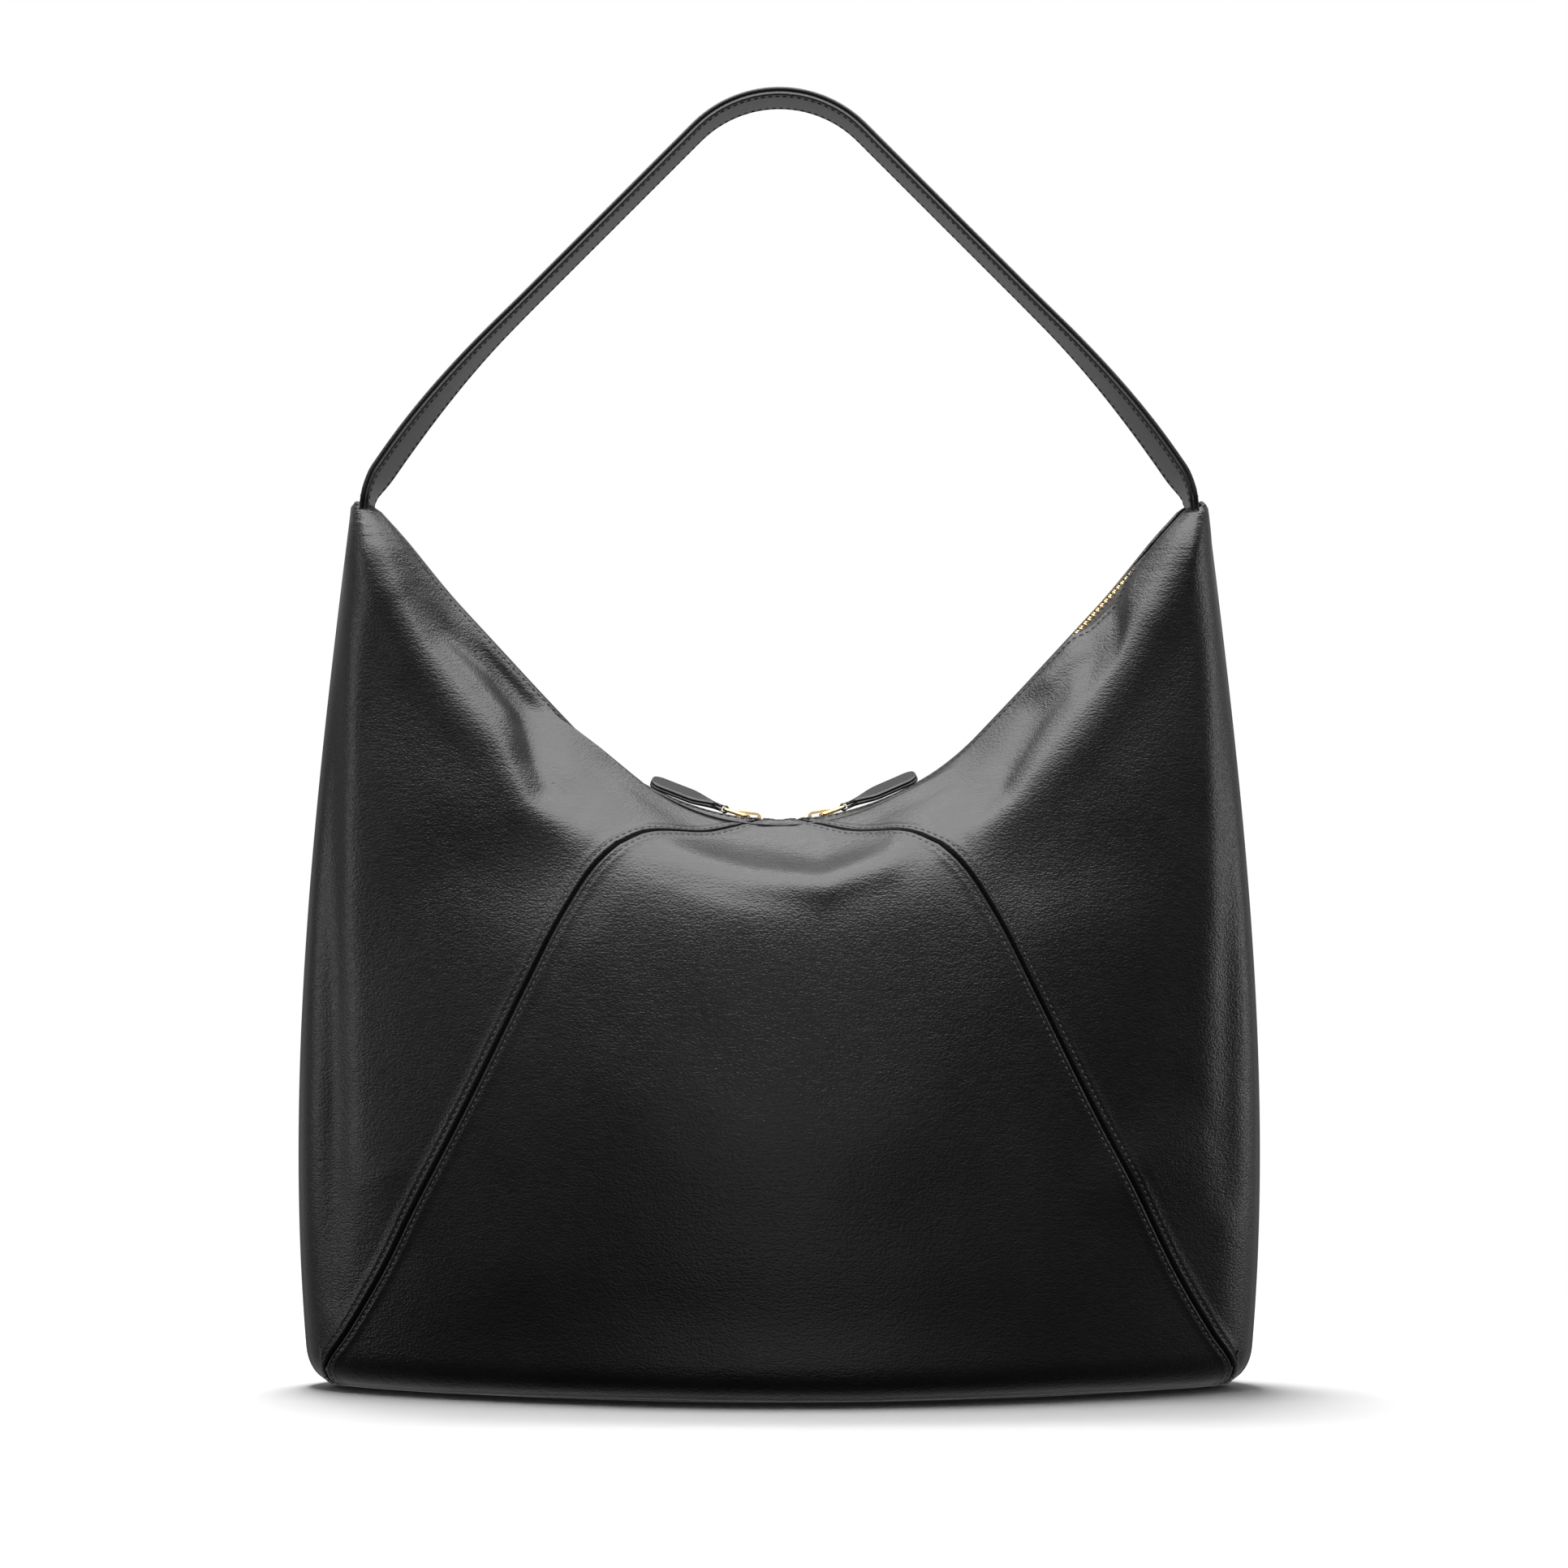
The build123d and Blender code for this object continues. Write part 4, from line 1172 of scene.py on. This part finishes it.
def tab_layer(side):
    """Grid of one leather layer of a tab, as (along, across, up) with its outer face up or down."""
    u = np.concatenate([np.linspace(1.2, TAB_LENGTH - 1.5, 46), np.linspace(TAB_LENGTH - 1.3, TAB_LENGTH, 5)])
    v = np.sin(np.linspace(-pi / 2, pi / 2, 25))
    half = tab_width(u)
    across = half[:, None] * v
    edge = np.minimum(half[:, None] * (1 - np.abs(v)), (TAB_LENGTH - u)[:, None])
    thickness = TAB_THICKNESS / 2 - 0.05
    roll = 0.6 * (1 - np.clip(edge / 0.9, 0, 1)) ** 2
    dip = 0.14 * bell(edge - TAB_STITCH_INSET, 0.5) * (u[:, None] > TAB_NECK_LENGTH + 2)
    up = side * (thickness - roll - dip)
    along = np.repeat(u[:, None], len(v), axis=1)
    top = np.stack([along, across, up], axis=-1)
    low = np.stack([along, across * 0.985, np.full_like(along, side * 0.08)], axis=-1)
    return top, low


def tab_fold():
    """The neck's loop round the ring's outer bar."""
    turn = np.linspace(pi / 2, 3 * pi / 2, 15)
    straight = np.linspace(2.2, 0.3, 4)
    loop_out = [(s, FOLD_OUTER * 0.8) for s in straight]
    loop_out += [(FOLD_OUTER * cos(a), FOLD_OUTER * sin(a)) for a in turn]
    loop_out += [(s, -FOLD_OUTER * 0.8) for s in straight[::-1]]
    loop_in = [(s, FOLD_INNER) for s in straight]
    loop_in += [(FOLD_INNER * cos(a), FOLD_INNER * sin(a)) for a in turn]
    loop_in += [(s, -FOLD_INNER) for s in straight[::-1]]
    v = TAB_NECK_HALF_WIDTH * np.array((-1, -0.94, -0.5, 0, 0.5, 0.94, 1))
    soft = np.array((0.88, 1, 1, 1, 1, 1, 0.88))
    top = np.array([[(p[0] * k, w, p[1] * k) for w, k in zip(v, soft)] for p in loop_out])
    low = np.array([[(p[0], w, p[1]) for w in v] for p in loop_in])
    return sheet_between(top, low)


def make_tab(side_name):
    """One leather pull tab, placed from its CAD node, with stitches round its border."""
    side = -1 if side_name == "left" else 1
    tilt = radians(TAB_TILTS[side_name])
    ring_low, ring_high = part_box(f"pull_ring_{side_name}")
    bar_x = (ring_low.x if side < 0 else ring_high.x) / MM - side * 0.8
    bar_z = ring_high.z / MM - 0.8
    along = np.array((side * cos(tilt), 0, sin(tilt)))
    up = np.array((-side * sin(tilt), 0, cos(tilt)))
    frame_axes = np.stack([along, np.array((0, -side, 0)), up])

    def placed(points):
        points = points.reshape(-1, 3)
        roll = -side * TAB_ROLL * ramp(TAB_NECK_LENGTH, 16, points[:, 0])
        across = points[:, 1] * np.cos(roll) - points[:, 2] * np.sin(roll)
        height = points[:, 1] * np.sin(roll) + points[:, 2] * np.cos(roll)
        return np.stack([points[:, 0], across, height], axis=1) @ frame_axes + (bar_x, 0, bar_z)

    lower_points, lower_faces = sheet_between(*tab_layer(-1))
    shapes = [sheet_between(*tab_layer(1)), (lower_points, flipped(lower_faces)), tab_fold()]
    points, faces = joined([(placed(p), f) for p, f in shapes])
    make_object(f"leather_pull_tab_{side_name}", points, faces, STRAP_LEATHER,
                body=f"tab_{side_name}", slot="strap_leather", replaces=(f"pull_tab_{side_name}",))
    u = np.linspace(TAB_NECK_LENGTH + 3, TAB_LENGTH - 2.2, 40)
    paths = []
    for face in (1, -1):
        half = np.maximum(tab_width(u) - TAB_STITCH_INSET, 0.4)
        edge = np.concatenate([np.stack([u, half], axis=1), np.stack([u, -half], axis=1)[::-1]])
        line = np.insert(edge, 2, face * (TAB_THICKNESS / 2 - 0.15), axis=1)
        normals = np.tile(up * face, (len(line), 1))
        paths.append((placed(line), normals))
    stitches(f"stitches_pull_tab_{side_name}", paths, body=f"tab_{side_name}",
             pitch=2.4, length=1.8, radius=0.22, lift=0.05, slot="strap_leather")


for side_name in ("left", "right"):
    make_tab(side_name)
    finish_cad(f"slider_{side_name}", GOLD)
    finish_cad(f"pull_ring_{side_name}", GOLD)
    finish_cad(f"zip_stop_{side_name}", ZIP_METAL)
finish_cad("base_board", BOARD)


# ---------------------------------------------------------------- lights, floor, camera

LIGHTS = (      # name, place, aim, width, height and power; only the last one lights the floor
    ("key", (-0.1, -1.0, 1.4), (0, 0, 0.3), 2.2, 0.9, 44),
    ("overhead", (0, 0.05, 1.6), (0, 0, 0.3), 2.6, 1.4, 72),
    ("left_strip", (-1.4, -0.5, 0.3), (0, 0, 0.2), 0.16, 0.9, 2.9),
    ("right_strip", (1.5, -0.1, 0.3), (0, 0, 0.2), 0.2, 0.9, 4),
    ("front_fill", (0, -2.4, -0.1), (0, 0, 0.1), 1.0, 0.7, 2.4),
    ("floor_wash", (-0.12, 0.22, 2.0), (-0.12, 0.22, 0), 0.7, 0.6, 54),
)
FLOOR_HALF = 520
FLOOR_DROP = 0.4        # keeps the paper clear of the base


def area_light(name, place, target, width, height, power):
    """A soft rectangular light that faces a point, in metres, and lights the floor or all but the floor."""
    lamp = bpy.data.lights.new(name, "AREA")
    lamp.shape = "RECTANGLE"
    lamp.size = width
    lamp.size_y = height
    lamp.energy = power
    obj = bpy.data.objects.new(name, lamp)
    obj.location = place
    aim = Vector(target) - Vector(place)
    obj.rotation_mode = "QUATERNION"
    obj.rotation_quaternion = aim.to_track_quat("-Z", "Y")
    bpy.context.scene.collection.objects.link(obj)
    lit = bpy.data.collections.new(f"lit_by_{name}")
    lit.objects.link(bpy.data.objects["floor"])
    lit.collection_objects[0].light_linking.link_state = "INCLUDE" if name == "floor_wash" else "EXCLUDE"
    obj.light_linking.receiver_collection = lit


def make_stage():
    """Pale floor and soft lights."""
    side = np.linspace(-FLOOR_HALF, FLOOR_HALF, 25)
    x, y = np.meshgrid(side, side)
    points = np.stack([x, y, np.full_like(x, -FLOOR_DROP)], axis=-1)
    floor = make_object("floor", points, grid_faces(*x.shape), floor_finish("floor_paper"))
    floor.visible_glossy = False
    floor.visible_diffuse = False
    for light in LIGHTS:
        area_light(*light)


def make_world():
    """White to the camera; to everything else a soft gradient, dark in front and brighter behind."""
    world = bpy.data.worlds.new("studio")
    world.use_nodes = True
    tree = world.node_tree
    direction = tree.nodes.new("ShaderNodeSeparateXYZ")
    tree.links.new(tree.nodes.new("ShaderNodeTexCoord").outputs["Generated"], direction.inputs[0])
    backdrop = tree.nodes.new("ShaderNodeMapRange")
    tree.links.new(direction.outputs["Y"], backdrop.inputs["Value"])
    for key, value in (("From Min", -0.2), ("From Max", 0.5), ("To Min", 0.02), ("To Max", 0.5)):
        backdrop.inputs[key].default_value = value
    seen = tree.nodes.new("ShaderNodeLightPath").outputs["Is Camera Ray"]
    glow = tree.nodes.new("ShaderNodeMix")
    tree.links.new(seen, glow.inputs[0])
    tree.links.new(backdrop.outputs[0], glow.inputs[2])
    glow.inputs[3].default_value = 1.0
    background = tree.nodes["Background"]
    tree.links.new(glow.outputs[0], background.inputs["Strength"])
    background.inputs["Color"].default_value = (1, 1, 1, 1)
    bpy.context.scene.world = world


CAMERA_DISTANCE = 1.7
CAMERA_HEIGHT = 0.252
CAMERA_OFFSET = 0.002
FRAME_WIDTH = 0.657846      # what the picture's width spans at the bag's middle, in metres

make_stage()
make_world()
bpy.context.scene.view_settings.view_transform = "Standard"
camera_data = bpy.data.cameras.new("camera")
camera_data.sensor_width = 36
camera_data.lens = 36 * CAMERA_DISTANCE / FRAME_WIDTH
camera = bpy.data.objects.new("camera", camera_data)
camera.location = (CAMERA_OFFSET, -CAMERA_DISTANCE, CAMERA_HEIGHT)
camera.rotation_euler = (pi / 2, 0, 0)
bpy.context.scene.collection.objects.link(camera)
bpy.context.scene.camera = camera
